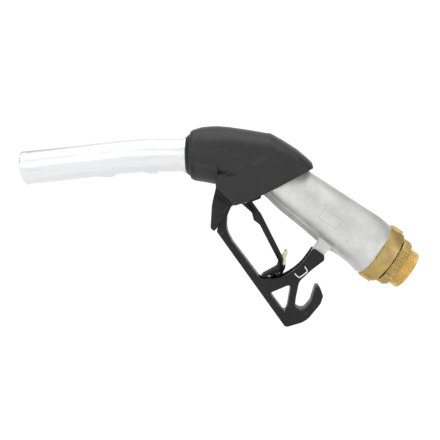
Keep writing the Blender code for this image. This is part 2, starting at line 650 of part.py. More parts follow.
def coil(name, radius, thickness, low, high, turns, frame, finish="steel", points=10):
    """A spring round an axis empty."""
    bpy.context.view_layer.update()
    path = []
    for i in range(turns * points + 1):
        share = i / (turns * points)
        angle = math.tau * turns * share
        rise = low + thickness + (high - low - 2 * thickness) * share
        local = Vector((radius * math.cos(angle), radius * math.sin(angle), rise)) * MM
        path.append(frame.matrix_world @ local / MM)
    return tube(name, path, thickness, finish, 1)


latch_side = axis_empty("latch_side", (LATCH_PIN[0], 0, LATCH_PIN[1]))
latch_side.rotation_euler = (math.radians(90.0), 0.0, 0.0)
hang(coil("latch_spring", LATCH_PIN_RADIUS + FIT + 0.5, 0.3, LATCH_WIDTH / 2 + FIT,
          LATCH_SLOT / 2 - 0.1, 2, latch_side), lever_pivot)

# ---------------------------------------------------------------- main valve
# From the roller up: stem, gland in the floor, seat, poppet, spring, and the cap on top.
seat_top = SEAT_LEVEL + 5.0
SEAT_BORE = 11.0
ring("valve_seat", SEAT_BORE, SEAT_RADIUS, SEAT_LEVEL + FIT, seat_top, "brass", valve_axis)
seal_top = seat_top + FIT + 2.0
SEAL_BORE = STEM_RADIUS + FIT
ring("poppet_seal", SEAL_BORE, SEAT_BORE + 2.6, seat_top + FIT, seal_top, "seal_rubber", valve_axis)
POPPET_TOP = seal_top + 6.0
turned("main_poppet", [
    (0.0, POPPET_TOP + 6.0), (4.0, POPPET_TOP + 6.0), (4.0, POPPET_TOP), (SEAT_BORE + 2.8, POPPET_TOP),
    (SEAT_BORE + 2.8, seal_top + FIT), (STEM_RADIUS, seal_top + FIT), (STEM_RADIUS, ROLLER_RADIUS + 4.0),
    (STEM_RADIUS - 1.2, ROLLER_RADIUS + FIT), (0.0, ROLLER_RADIUS + FIT)], "brass", valve_axis)
gland_low = 6.2
turned("stem_gland", [
    (STEM_RADIUS + FIT, LOWER_FLOOR + 2.0), (GLAND_RADIUS + 2.4, LOWER_FLOOR + 2.0),
    (GLAND_RADIUS + 2.4, LOWER_FLOOR + FIT), (GLAND_RADIUS, LOWER_FLOOR + FIT),
    (GLAND_RADIUS, gland_low + 6.0), (STEM_RADIUS + FIT, gland_low + 6.0)], "brass", valve_axis)
seal_room = LOWER_FLOOR + 2.0 + FIT
ring("stem_seal", STEM_RADIUS + FIT, GLAND_RADIUS + 1.6, seal_room, seal_room + 2.2, "seal_rubber",
     valve_axis)
CAP_INSIDE = CHAMBER_TOP - 3.0
turned("valve_cap", [
    (0.0, CHAMBER_TOP + 2.6), (CAP_RADIUS, CHAMBER_TOP + 2.6), (CAP_RADIUS, CHAMBER_TOP),
    (SEAT_RADIUS, CHAMBER_TOP), (SEAT_RADIUS, CAP_INSIDE - 7.0), (SEAT_RADIUS - 2.4, CAP_INSIDE - 7.0),
    (SEAT_RADIUS - 2.4, CAP_INSIDE), (0.0, CAP_INSIDE)], "brass", valve_axis)


coil("main_spring", SEAT_BORE - 1.0, 1.1, POPPET_TOP + FIT, CAP_INSIDE - FIT, 4, valve_axis)

# ---------------------------------------------------------------- spout
DROOP = math.radians(SPOUT_DROOP)
TURN_RADIUS = (BEND_START_X - BEND_END_X) / math.sin(DROOP)


def spout_line(x):
    """Height and slope of the spout's centre line."""
    if x >= BEND_START_X:
        return SPOUT_HEIGHT, 0.0
    if x >= BEND_END_X:
        angle = math.asin((BEND_START_X - x) / TURN_RADIUS)
        return SPOUT_HEIGHT - TURN_RADIUS * (1 - math.cos(angle)), angle
    bend_drop = TURN_RADIUS * (1 - math.cos(DROOP))
    return SPOUT_HEIGHT - bend_drop - (BEND_END_X - x) * math.tan(DROOP), DROOP


def spout_path(start, end, offset=0.0):
    """Points along the spout's centre line, offset square to it."""
    stops = [start, BEND_START_X]
    steps = 6
    stops += [BEND_START_X + (BEND_END_X - BEND_START_X) * i / steps for i in range(1, steps + 1)]
    stops.append(end)
    path = []
    for x in stops:
        height, angle = spout_line(x)
        path.append((x - offset * math.sin(angle), 0.0, height + offset * math.cos(angle)))
    return path


SPOUT_REAR_X = NOSE_X + SOCKET_DEPTH - FIT
spout = tube("spout", spout_path(SPOUT_REAR_X, SPOUT_TIP_X), SPOUT_RADIUS, "spout_aluminium", 10)
bore = tube("spout_bore", spout_path(SPOUT_REAR_X + 5.0, SPOUT_TIP_X - 5.0), SPOUT_RADIUS - SPOUT_WALL,
            None, 10)
tip_axis = axis_empty("tip_axis", (SPOUT_TIP_X, 0, spout_line(SPOUT_TIP_X)[0]), -90.0 - SPOUT_DROOP)
rim = ring("spout_rim", SPOUT_RADIUS - SPOUT_WALL - 0.4, SPOUT_RADIUS + 0.5, -3.0, 0.4, None, tip_axis)
catches = []
for i, step_x in enumerate((-352.5, -296.5)):
    height, angle = spout_line(step_x)
    low = height - SPOUT_RADIUS / math.cos(angle)
    drop = math.tan(angle)
    catches.append(plate(f"catch_{i}", [[
        (step_x, low + 3.0), (step_x, low - CATCH_HEIGHT), (step_x - 4.0, low - CATCH_HEIGHT - 4.0 * drop),
        (step_x - CATCH_LENGTH, low - CATCH_LENGTH * drop - 0.2),
        (step_x - CATCH_LENGTH, low - CATCH_LENGTH * drop + 2.0)]], 10.0))
join(spout, rim, *catches)
VENT_RADIUS = 2.6
VENT_HOLE_X = SPOUT_TIP_X + 14.0
VENT_HOLE_RADIUS = 1.6
vent_hole = rod("vent_hole", VENT_HOLE_RADIUS, -6.0, 6.0, None, None, 12)
hole_height = spout_line(VENT_HOLE_X)[0]
vent_hole.location = Vector((VENT_HOLE_X, 0.0, hole_height - SPOUT_RADIUS)) * MM
cut(spout, bore, vent_hole)

COLLAR_LENGTH = 3.6
NUT_END = 7.9
collar_start = NUT_END + FIT
ring("spout_collar", SPOUT_RADIUS + FIT, SPOUT_RADIUS + 2.2, collar_start, collar_start + COLLAR_LENGTH,
     "spout_aluminium", socket_axis)
turned("nose_ring", [
    (SPOUT_RADIUS + FIT, NUT_END), (HEAD_RADIUS - 3.0, NUT_END), (HEAD_RADIUS - 0.6, NUT_END - 2.5),
    (HEAD_RADIUS, 3.2), (HEAD_RADIUS, FIT), (SPOUT_RADIUS + FIT, FIT)], "nylon", socket_axis)
spout_groove_level = -10.0
socket_groove = ring("socket_groove", SPOUT_RADIUS - 1.0, SPOUT_RADIUS + 2.1, spout_groove_level - 1.4,
                     spout_groove_level + 1.4, None, socket_axis)
body_hollows.append(socket_groove)
o_ring("spout_seal", SPOUT_RADIUS + 1.1, 0.7, spout_groove_level, "seal_rubber", socket_axis)

# The sensing tube runs along the bottom of the spout to a hole near its mouth.
vent_offset = -(SPOUT_RADIUS - SPOUT_WALL - VENT_RADIUS - 1.4)
VENT_END_X = SPOUT_TIP_X + 24.0
vent = tube("vent_tube", spout_path(SPOUT_REAR_X - 24.0, VENT_END_X, vent_offset), VENT_RADIUS, "acetal", 3)
vent_bore = tube("vent_bore", spout_path(SPOUT_REAR_X - 20.0, VENT_END_X - 4.0, vent_offset), 1.5, None, 3)
cut(vent, vent_bore)
vent_z = spout_line(VENT_END_X)[0]
vent_axis = axis_empty("vent_axis", (VENT_END_X - vent_offset * math.sin(DROOP), 0,
                                     vent_z + vent_offset * math.cos(DROOP)), -90.0 - SPOUT_DROOP)
vent_tip = rod("vent_tip", VENT_RADIUS + 1.2, FIT, 16.0, "acetal", vent_axis, 16)
tip_way = rod("tip_way", VENT_HOLE_RADIUS - 0.2, -2.0, 11.0, None, vent_axis, 12)
tip_drop = rod("tip_drop", VENT_HOLE_RADIUS - 0.2, -8.0, 0.0, None, None, 12)
tip_drop.location = Vector((VENT_HOLE_X, 0.0, hole_height - SPOUT_RADIUS + 6.0)) * MM
cut(vent_tip, tip_way, tip_drop)

# Check valve behind the spout: seat, poppet, spring, and the cage that holds the spring.
SHOULDER = -SOCKET_DEPTH
CHECK_BORE = 11.0
ring("check_seat", CHECK_BORE, 14.7, SHOULDER - 6.0, SHOULDER - 3.0, "brass", socket_axis)
POPPET_LOW = SHOULDER - 3.0 + FIT
turned("check_poppet", [
    (0.0, POPPET_LOW + 12.0), (2.0, POPPET_LOW + 12.0), (2.0, POPPET_LOW + 2.2),
    (CHECK_BORE + 1.6, POPPET_LOW + 2.2), (CHECK_BORE + 1.6, POPPET_LOW), (0.0, POPPET_LOW)],
    "acetal", socket_axis)
cage_face = POPPET_LOW + 16.0
cage = ring("check_cage", 2.0 + FIT, SPOUT_RADIUS - SPOUT_WALL - FIT, cage_face, cage_face + 2.0,
            "acetal", socket_axis)
cage_holes = []
for i in range(5):
    angle = math.radians(36.0 + 72.0 * i)
    hole = rod(f"cage_hole_{i}", 4.6, cage_face - 4.0, cage_face + 6.0, None, socket_axis, 16)
    hole.location = Vector((10.4 * math.cos(angle), 10.4 * math.sin(angle), 0.0)) * MM
    cage_holes.append(hole)
cut(cage, *cage_holes)
coil("check_spring", 4.4, 0.55, POPPET_LOW + 2.2 + FIT, cage_face - FIT, 4, socket_axis)

# ---------------------------------------------------------------- automatic shut-off
# A diaphragm under the head drops its pin when the sensing tube is covered.
SHUTOFF = (-203.5, 104.0)
shutoff_axis = axis_empty("shutoff_axis", (SHUTOFF[0], 0, SHUTOFF[1]))
DIAPHRAGM_RADIUS = 9.0
POCKET_DEPTH = 8.0
pocket = rod("shutoff_pocket", DIAPHRAGM_RADIUS + FIT, -POCKET_DEPTH, POCKET_DEPTH, None, shutoff_axis)
pocket_way = rod("shutoff_way", 3.0, POCKET_DEPTH - 1.0, 16.0, None, shutoff_axis, 16)
cut(body, *body_hollows, pocket, pocket_way)
turned("shutoff_diaphragm", [
    (0.0, 2.6), (4.0, 2.6), (5.0, 1.0), (DIAPHRAGM_RADIUS, 1.0), (DIAPHRAGM_RADIUS, 0.0), (0.0, 0.0)],
    "seal_rubber", shutoff_axis)
SHUTOFF_PIN_RADIUS = 2.4
turned("shutoff_cap", [
    (SHUTOFF_PIN_RADIUS + FIT, -FIT), (DIAPHRAGM_RADIUS, -FIT), (DIAPHRAGM_RADIUS, -4.2), (6.4, -4.2),
    (6.4, -6.4), (SHUTOFF_PIN_RADIUS + FIT, -6.4)], "brass", shutoff_axis)
rod("shutoff_pin", SHUTOFF_PIN_RADIUS, -9.4, -FIT, "steel", shutoff_axis, 16)
coil("diaphragm_spring", 3.0, 0.4, 2.6 + FIT, POCKET_DEPTH - 0.4, 3, shutoff_axis)

# ---------------------------------------------------------------- inlet strainer and small springs
STRAINER_LOW = NECK_END + 2.0
turned("strainer", [
    (6.0, STRAINER_LOW + 34.0), (7.0, STRAINER_LOW + 34.0), (BODY_BORE - 2.4, STRAINER_LOW + 3.0),
    (BODY_BORE - FIT, STRAINER_LOW + 3.0), (BODY_BORE - FIT, STRAINER_LOW),
    (BODY_BORE - 3.4, STRAINER_LOW)], "steel", inlet_axis)
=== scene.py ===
import json
import math

import bmesh
import bpy
import numpy as np
from mathutils import Matrix, Vector


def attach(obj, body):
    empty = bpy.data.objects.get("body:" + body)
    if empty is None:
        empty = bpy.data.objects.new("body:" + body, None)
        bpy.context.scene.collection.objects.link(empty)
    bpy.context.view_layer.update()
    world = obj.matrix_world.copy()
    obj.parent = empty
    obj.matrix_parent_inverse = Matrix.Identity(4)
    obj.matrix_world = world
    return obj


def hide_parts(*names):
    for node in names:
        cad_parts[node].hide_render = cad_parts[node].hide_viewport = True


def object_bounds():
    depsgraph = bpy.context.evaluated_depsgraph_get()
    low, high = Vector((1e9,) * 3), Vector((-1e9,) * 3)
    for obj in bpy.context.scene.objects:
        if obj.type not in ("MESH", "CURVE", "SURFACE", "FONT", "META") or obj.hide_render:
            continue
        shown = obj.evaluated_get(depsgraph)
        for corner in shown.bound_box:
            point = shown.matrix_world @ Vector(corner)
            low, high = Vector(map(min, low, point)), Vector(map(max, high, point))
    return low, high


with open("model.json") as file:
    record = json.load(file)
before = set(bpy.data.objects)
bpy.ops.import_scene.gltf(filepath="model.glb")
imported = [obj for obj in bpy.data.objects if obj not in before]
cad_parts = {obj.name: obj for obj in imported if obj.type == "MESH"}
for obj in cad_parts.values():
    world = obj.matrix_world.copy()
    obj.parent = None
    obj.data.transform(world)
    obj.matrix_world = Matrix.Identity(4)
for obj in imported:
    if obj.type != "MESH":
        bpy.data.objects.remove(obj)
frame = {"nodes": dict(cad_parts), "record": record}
cad_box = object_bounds()

MM = 0.001

# ------------------------------------------------------------------ studio
# A pale floor under the nozzle, three large soft lights, and the camera at the nozzle's side.
bpy.context.scene.view_settings.view_transform = "Standard"
world = bpy.data.worlds.new("studio")
bpy.context.scene.world = world
world.use_nodes = True
sky_nodes, sky_links = world.node_tree.nodes, world.node_tree.links
sky = sky_nodes["Background"]
backdrop = sky_nodes.new("ShaderNodeBackground")
backdrop.inputs["Color"].default_value = (1.0, 1.0, 1.0, 1.0)
backdrop.inputs["Strength"].default_value = 1.05
direction = sky_nodes.new("ShaderNodeTexCoord")
split = sky_nodes.new("ShaderNodeSeparateXYZ")
sky_links.new(direction.outputs["Generated"], split.inputs[0])
heights = sky_nodes.new("ShaderNodeValToRGB")
HEIGHT_STOPS = (
    (0.0, 0.60), (0.40, 0.90), (0.52, 1.12), (0.62, 0.90),
    (0.72, 0.36), (0.86, 0.36), (0.95, 1.0), (1.0, 1.2))
while len(heights.color_ramp.elements) < len(HEIGHT_STOPS):
    heights.color_ramp.elements.new(1.0)
for element, (place, level) in zip(heights.color_ramp.elements, HEIGHT_STOPS):
    element.position = place
    element.color = (level, level, level, 1.0)
height_share = sky_nodes.new("ShaderNodeMapRange")
height_share.inputs["From Min"].default_value = -1.0
sky_links.new(split.outputs["Z"], height_share.inputs["Value"])
sky_links.new(height_share.outputs[0], heights.inputs[0])
sky_links.new(heights.outputs[0], sky.inputs["Color"])
sky.inputs["Strength"].default_value = 1.0
seen = sky_nodes.new("ShaderNodeLightPath")
sky_mix = sky_nodes.new("ShaderNodeMixShader")
sky_links.new(seen.outputs["Is Camera Ray"], sky_mix.inputs[0])
sky_links.new(sky.outputs[0], sky_mix.inputs[1])
sky_links.new(backdrop.outputs[0], sky_mix.inputs[2])
sky_links.new(sky_mix.outputs[0], sky_nodes["World Output"].inputs["Surface"])

LOWEST = cad_box[0][2]
floor_mesh = bpy.data.meshes.new("floor")
floor_mesh.from_pydata([(-12, -12, 0), (12, -12, 0), (12, 12, 0), (-12, 12, 0)], [], [(0, 1, 2, 3)])
floor = bpy.data.objects.new("floor", floor_mesh)
floor.location = (0.0, 0.0, LOWEST - 0.06)
bpy.context.scene.collection.objects.link(floor)
floor_paint = bpy.data.materials.new("floor_paint")
floor_paint.use_nodes = True
floor_shader = floor_paint.node_tree.nodes["Principled BSDF"]
floor_shader.inputs["Base Color"].default_value = (0.93, 0.93, 0.93, 1.0)
floor_shader.inputs["Roughness"].default_value = 0.7
floor_nodes, floor_links = floor_paint.node_tree.nodes, floor_paint.node_tree.links
floor_seen = floor_nodes.new("ShaderNodeLightPath")
floor_white = floor_nodes.new("ShaderNodeEmission")
floor_white.inputs["Strength"].default_value = 1.05
floor_mix = floor_nodes.new("ShaderNodeMixShader")
floor_links.new(floor_seen.outputs["Is Camera Ray"], floor_mix.inputs[0])
floor_links.new(floor_shader.outputs[0], floor_mix.inputs[1])
floor_links.new(floor_white.outputs[0], floor_mix.inputs[2])
floor_links.new(floor_mix.outputs[0], floor_nodes["Material Output"].inputs["Surface"])
floor_mesh.materials.append(floor_paint)


def soft_light(name, place, target, size, power):
    """A square area light turned towards a point."""
    lamp = bpy.data.lights.new(name, "AREA")
    lamp.shape = "RECTANGLE"
    lamp.size, lamp.size_y = size
    lamp.energy = power
    light = bpy.data.objects.new(name, lamp)
    light.location = place
    light.rotation_euler = (Vector(target) - Vector(place)).to_track_quat("-Z", "Y").to_euler()
    bpy.context.scene.collection.objects.link(light)


MIDDLE = (-0.22, 0.0, 0.06)
soft_light("top_light", (-0.25, -0.25, 1.1), MIDDLE, (1.6, 0.9), 6.0)
soft_light("front_light", (-0.75, -1.1, 0.55), MIDDLE, (0.9, 0.9), 2.2)
soft_light("side_light", (0.75, -0.9, 0.35), MIDDLE, (0.7, 1.0), 1.6)
soft_light("back_light", (-0.2, 1.1, 0.8), MIDDLE, (1.4, 0.8), 2.5)

eye = bpy.data.cameras.new("camera")
eye.lens = 53.2
eye.sensor_width = 36.0
camera = bpy.data.objects.new("camera", eye)
camera.location = (-0.1736, -0.7770, 0.1067)
look = Vector((-0.2216, 0.0, 0.0587)) - camera.location
camera.rotation_euler = look.to_track_quat("-Z", "Y").to_euler()
bpy.context.scene.collection.objects.link(camera)
bpy.context.scene.camera = camera


# ------------------------------------------------------------------ spout
# A long aluminium tube, drawn, bent once and satin-brushed along its length. Its mouth is rolled
# thick, and two saw-tooth catches are pressed out of a flat strip below. It ends in the head.
class Wire:
    """A shader socket that takes Python's operators."""

    tree = None

    def __init__(self, socket):
        self.socket = socket

    @classmethod
    def node(cls, kind, settings=None, inputs=None, output=0):
        """Adds a node: its settings first, then the values or links of its sockets."""
        made = cls.tree.nodes.new(kind)
        for key, value in (settings or {}).items():
            if key == "stops":
                ramp = made.color_ramp
                while len(ramp.elements) < len(value):
                    ramp.elements.new(1.0)
                for element, (place, colour) in zip(ramp.elements, value):
                    element.position = place
                    element.color = (*colour, 1.0)
            else:
                setattr(made, key, value)
        for key, value in (inputs or {}).items():
            cls.feed(made.inputs[key], value)
        return cls(made.outputs[output])

    @classmethod
    def feed(cls, socket, value):
        if isinstance(value, Wire):
            cls.tree.links.new(value.socket, socket)
        else:
            socket.default_value = value

    def maths(self, operation, other=0.0, swap=False, clamp=False):
        first, second = (other, self) if swap else (self, other)
        return self.node("ShaderNodeMath", {"operation": operation, "use_clamp": clamp},
                         {0: first, 1: second})

    def __add__(self, other):
        return self.maths("ADD", other)

    def __sub__(self, other):
        return self.maths("SUBTRACT", other)

    def __rsub__(self, other):
        return self.maths("SUBTRACT", other, swap=True)

    def __mul__(self, other):
        return self.maths("MULTIPLY", other)

    def __truediv__(self, other):
        return self.maths("DIVIDE", other)

    def __pow__(self, other):
        return self.maths("POWER", other)

    __radd__ = __add__
    __rmul__ = __mul__

    def clamp(self):
        return self.maths("ADD", 0.0, clamp=True)

    def step(self, low, high):
        """0 below low, 1 above high, smooth between."""
        return self.node("ShaderNodeMapRange", {"interpolation_type": "SMOOTHSTEP"},
                         {"Value": self, "From Min": low, "From Max": high})


def mix(share, first, second):
    """One colour over another, by a share from 0 to 1."""
    first, second = [(*c, 1.0) if isinstance(c, tuple) else c for c in (first, second)]
    return Wire.node("ShaderNodeMix", {"data_type": "RGBA"}, {0: share, 6: first, 7: second}, output=2)


def noise(place, scale, detail=4.0, rough=0.55):
    return Wire.node("ShaderNodeTexNoise", None,
                     {"Vector": place, "Scale": scale, "Detail": detail, "Roughness": rough})


def place_of():
    return Wire.node("ShaderNodeTexCoord", output=3)


def stretched(place, scale, turn=(0.0, 0.0, 0.0)):
    """Object coordinates turned, then squeezed by different amounts along their axes."""
    turned_place = Wire.node("ShaderNodeMapping", None, {"Vector": place, "Rotation": turn})
    return Wire.node("ShaderNodeMapping", None, {"Vector": turned_place, "Scale": scale})


def bump(height, strength, distance):
    return Wire.node("ShaderNodeBump", None,
                     {"Height": height, "Strength": strength, "Distance": distance})


def finish(name, make, **constants):
    """A material: make() returns what feeds the shader, constants are set on its sockets."""
    material = bpy.data.materials.new(name)
    material.use_nodes = True
    Wire.tree = material.node_tree
    shader = material.node_tree.nodes["Principled BSDF"]
    for key, value in constants.items():
        shader.inputs[key.replace("_", " ")].default_value = value
    for key, value in make().items():
        Wire.feed(shader.inputs[key], value)
    return material


SPOUT_SLOPE = math.radians(6.2)


def brushed_aluminium():
    place = place_of()
    along = stretched(place, (9.0, 420.0, 420.0), (0.0, SPOUT_SLOPE, 0.0))
    grain = noise(along, 3.0, 5.0, 0.6)
    smears = noise(place, 26.0, 3.0)
    scratches = noise(stretched(place, (25.0, 900.0, 300.0), (0.3, SPOUT_SLOPE, 0.0)), 1.2, 2.0)
    marks = scratches.step(0.66, 0.74)
    dirt = noise(place, 9.0, 6.0, 0.7).step(0.55, 0.78)
    colour = mix(grain.step(0.3, 0.7), (0.80, 0.81, 0.82), (0.90, 0.905, 0.91))
    colour = mix(dirt * 0.35, colour, (0.62, 0.61, 0.59))
    return {
        "Base Color": mix(marks * 0.5, colour, (0.60, 0.60, 0.60)),
        "Roughness": 0.27 + grain * 0.12 + smears * 0.10 + dirt * 0.12,
        "Normal": bump(grain * 0.6 - marks * 0.8, 0.22, 0.0002),
    }


SATIN = finish("spout_satin", brushed_aluminium, Metallic=1.0)


def piece_of(name, mesh, material, slot, body, *nodes):
    """Links a visible piece, parents it to its body and hides the parts it stands for."""
    piece = bpy.data.objects.new(name, mesh)
    bpy.context.scene.collection.objects.link(piece)
    mesh.materials.clear()
    mesh.materials.append(material)
    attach(piece, body)
    if nodes:
        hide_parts(*nodes)
    return piece


def grid_mesh(name, rows, caps=(False, False), closed_ends=False):
    """A skin over rows of points, each row a closed loop; closed_ends joins last row to first."""
    rows = np.asarray(rows, dtype=float)
    count, around = rows.shape[:2]
    vertices = rows.reshape(-1, 3)
    faces = []
    last = count if closed_ends else count - 1
    for i in range(last):
        a, b = i * around, ((i + 1) % count) * around
        for j in range(around):
            k = (j + 1) % around
            faces.append((a + j, a + k, b + k, b + j))
    if caps[0]:
        faces.append(tuple(range(around)))
    if caps[1]:
        faces.append(tuple(reversed(range((count - 1) * around, count * around))))
    mesh = bpy.data.meshes.new(name)
    mesh.from_pydata([tuple(v) for v in vertices], [], faces)
    shape = bmesh.new()
    shape.from_mesh(mesh)
    bmesh.ops.remove_doubles(shape, verts=shape.verts, dist=1e-7)
    bmesh.ops.recalc_face_normals(shape, faces=shape.faces)
    shape.to_mesh(mesh)
    shape.free()
    smooth(mesh)
    return mesh


def smooth(mesh, crease=40.0):
    mesh.shade_smooth()
    mesh.set_sharp_from_angle(angle=math.radians(crease))


SPOUT_RADIUS = 0.0198
SPOUT_WALL = 0.0018
SPOUT_LEVEL = 0.1365
SPOUT_REAR = -0.2253
SPOUT_TIP = -0.459
BEND_START = -0.292
BEND_END = -0.345
BEND_RADIUS = (BEND_START - BEND_END) / math.sin(SPOUT_SLOPE)


def spout_line(x):
    """Height and slope of the spout's centre line at x."""
    if x >= BEND_START:
        return SPOUT_LEVEL, 0.0
    if x >= BEND_END:
        angle = math.asin((BEND_START - x) / BEND_RADIUS)
        return SPOUT_LEVEL - BEND_RADIUS * (1 - math.cos(angle)), angle
    drop = BEND_RADIUS * (1 - math.cos(SPOUT_SLOPE)) + (BEND_END - x) * math.tan(SPOUT_SLOPE)
    return SPOUT_LEVEL - drop, SPOUT_SLOPE


CATCH_STEPS = (-0.2965, -0.3525)
CATCH_LENGTH = 0.021
CATCH_HEIGHT = 0.0024
STRIP_HALF = math.radians(17.0)


def ramp(value, low, high):
    share = min(max((value - low) / (high - low), 0.0), 1.0)
    return share * share * (3 - 2 * share)


def catch_rise(x):
    """How far the strip below stands out: each catch climbs slowly and drops at its step."""
    rise = 0.00035 * ramp(-x, 0.30, 0.306) * (1 - ramp(-x, 0.435, 0.446))
    for step in CATCH_STEPS:
        behind = step - x
        if behind > -0.0008:
            climb = ramp(behind, -0.0008, 0.0006)
            fall = 1 - ramp(behind, 0.006, CATCH_LENGTH)
            rise += CATCH_HEIGHT * climb * fall
    return rise


def spout_row(x, radius, strip=True, around=96):
    height, angle = spout_line(x)
    centre = Vector((x, 0.0, height))
    up = Vector((-math.sin(angle), 0.0, math.cos(angle)))
    rise = catch_rise(x) if strip else 0.0
    row = []
    for i in range(around):
        turn = math.tau * i / around
        off = abs(math.atan2(math.sin(turn - math.pi), math.cos(turn - math.pi)))
        share = 1 - ramp(off, STRIP_HALF * 0.72, STRIP_HALF * 1.25)
        flat = (1 / max(math.cos(min(off, STRIP_HALF)), 0.5) - 1) * radius * 0.6
        reach = radius + share * (rise - flat if rise > 0 else 0.0)
        row.append(centre + up * (reach * math.cos(turn)) + Vector((0, reach * math.sin(turn), 0)))
    return row


ROLL = 0.0005
outer_stops = list(np.linspace(SPOUT_REAR, -0.290, 14)) + list(np.linspace(-0.2915, -0.378, 90))
outer_stops += list(np.linspace(-0.381, SPOUT_TIP + 0.006, 30))
rows = [spout_row(x, SPOUT_RADIUS) for x in outer_stops]
for back, grow in ((0.0045, 0.0002), (0.0034, ROLL), (0.0012, ROLL), (0.0004, 0.0003), (0.0, -0.0003),
                   (0.0, -0.0012), (0.0005, -0.0019), (0.0030, -0.0022), (0.0045, -SPOUT_WALL)):
    rows.append(spout_row(SPOUT_TIP + back, SPOUT_RADIUS + grow, strip=False))
for x in np.linspace(SPOUT_TIP + 0.012, SPOUT_REAR, 24):
    rows.append(spout_row(x, SPOUT_RADIUS - SPOUT_WALL, strip=False))
piece_of("spout_tube", grid_mesh("spout_tube", rows, closed_ends=True), SATIN,
         "spout_aluminium", "root", "spout")

# ------------------------------------------------------------------ turned fittings at the nose
# An aluminium collar and a black nylon ring nut close the head round the spout.
NOSE = -0.253
SOCKET_FRAME = Matrix.Translation((NOSE, 0, SPOUT_LEVEL)) @ Matrix.Rotation(math.radians(-90.0), 4, "Y")


def turned(name, outline, place, around=96, shift=None):
    """A closed turned shape; outline is (radius, height) all the way round its section.

    shift(radius, turn, height) may move the skin in or out.
    """
    rows = []
    for radius, height in outline:
        row = []
        for i in range(around):
            turn = math.tau * i / around
            reach = radius + (shift(radius, turn, height) if shift else 0.0)
            row.append(place @ Vector((reach * math.cos(turn), reach * math.sin(turn), height)))
        rows.append(row)
    return grid_mesh(name, rows, closed_ends=True)


def eased(outline, radius=0.0004, steps=3):
    """Rounds every corner of a closed section."""
    result = []
    count = len(outline)
    for i in range(count):
        before, here, after = (Vector(outline[(i + k) % count]) for k in (-1, 0, 1))
        reach = min(radius, 0.45 * (before - here).length, 0.45 * (after - here).length)
        start = here + (before - here).normalized() * reach
        end = here + (after - here).normalized() * reach
        for k in range(steps + 1):
            share = k / steps
            result.append(start.lerp(here, share).lerp(here.lerp(end, share), share))
    return [tuple(point) for point in result]


collar = turned("collar_ring", eased([
    (0.0201, 0.0082), (0.0219, 0.0082), (0.0219, 0.0116), (0.0201, 0.0116)], 0.0006), SOCKET_FRAME)
piece_of("collar_ring", collar, SATIN, "spout_aluminium", "root", "spout_collar")


def moulded_nylon():
    place = place_of()
    grain = noise(place, 900.0, 3.0, 0.6)
    flow = noise(place, 22.0, 3.0)
    rubbed = noise(place, 60.0, 5.0, 0.7).step(0.56, 0.72)
    scuffs = noise(stretched(place, (60.0, 500.0, 300.0), (0.4, 0.6, 0.2)), 1.0, 3.0).step(0.62, 0.70)
    colour = mix(flow, (0.010, 0.010, 0.011), (0.019, 0.019, 0.020))
    colour = mix(rubbed * 0.4, colour, (0.034, 0.034, 0.036))
    return {
        "Base Color": mix(scuffs * 0.35, colour, (0.075, 0.075, 0.078)),
        "Roughness": 0.34 + flow * 0.12 + rubbed * 0.10 + scuffs * 0.12,
        "Normal": bump(grain * 0.7 + flow * 0.6 - scuffs * 0.3, 0.25, 0.00012),
    }


NYLON = finish("moulded_nylon", moulded_nylon, Specular_IOR_Level=0.24)

nose_ring = turned("nose_nut", eased([
    (0.0201, 0.0079), (0.0222, 0.0079), (0.0238, 0.0062), (0.0252, 0.0034), (0.0252, 0.0003),
    (0.0201, 0.0003)], 0.0007), SOCKET_FRAME)
piece_of("nose_nut", nose_ring, NYLON, "black_nylon", "root", "nose_ring")

# ------------------------------------------------------------------ grip and body
# One aluminium casting, tumbled and left bare: a tapered tube for the hand with a keel below,
# the lug for the guard, and the head under the hood. Black handling stains lie in its pores.
TILT = math.radians(33.1)
GRIP_UP = Vector((math.sin(TILT), 0.0, math.cos(TILT)))
GRIP_ALONG = Vector((-math.cos(TILT), 0.0, math.sin(TILT)))
INLET_FRAME = Matrix.Rotation(TILT - math.pi / 2, 4, "Y")
FIT = 0.0003


def on_grip(u, v=0.0, y=0.0):
    return GRIP_ALONG * u + GRIP_UP * v + Vector((0.0, y, 0.0))


FRAME_PLACE = (0.1120, 0.0010)   # plain frame on the grip: along its axis, above it
FRAME_SIZE = (0.0125, 0.0062)    # half length, half height
FRAME_EDGE = (0.0002, 0.0006)    # where the line starts to fade, where it ends


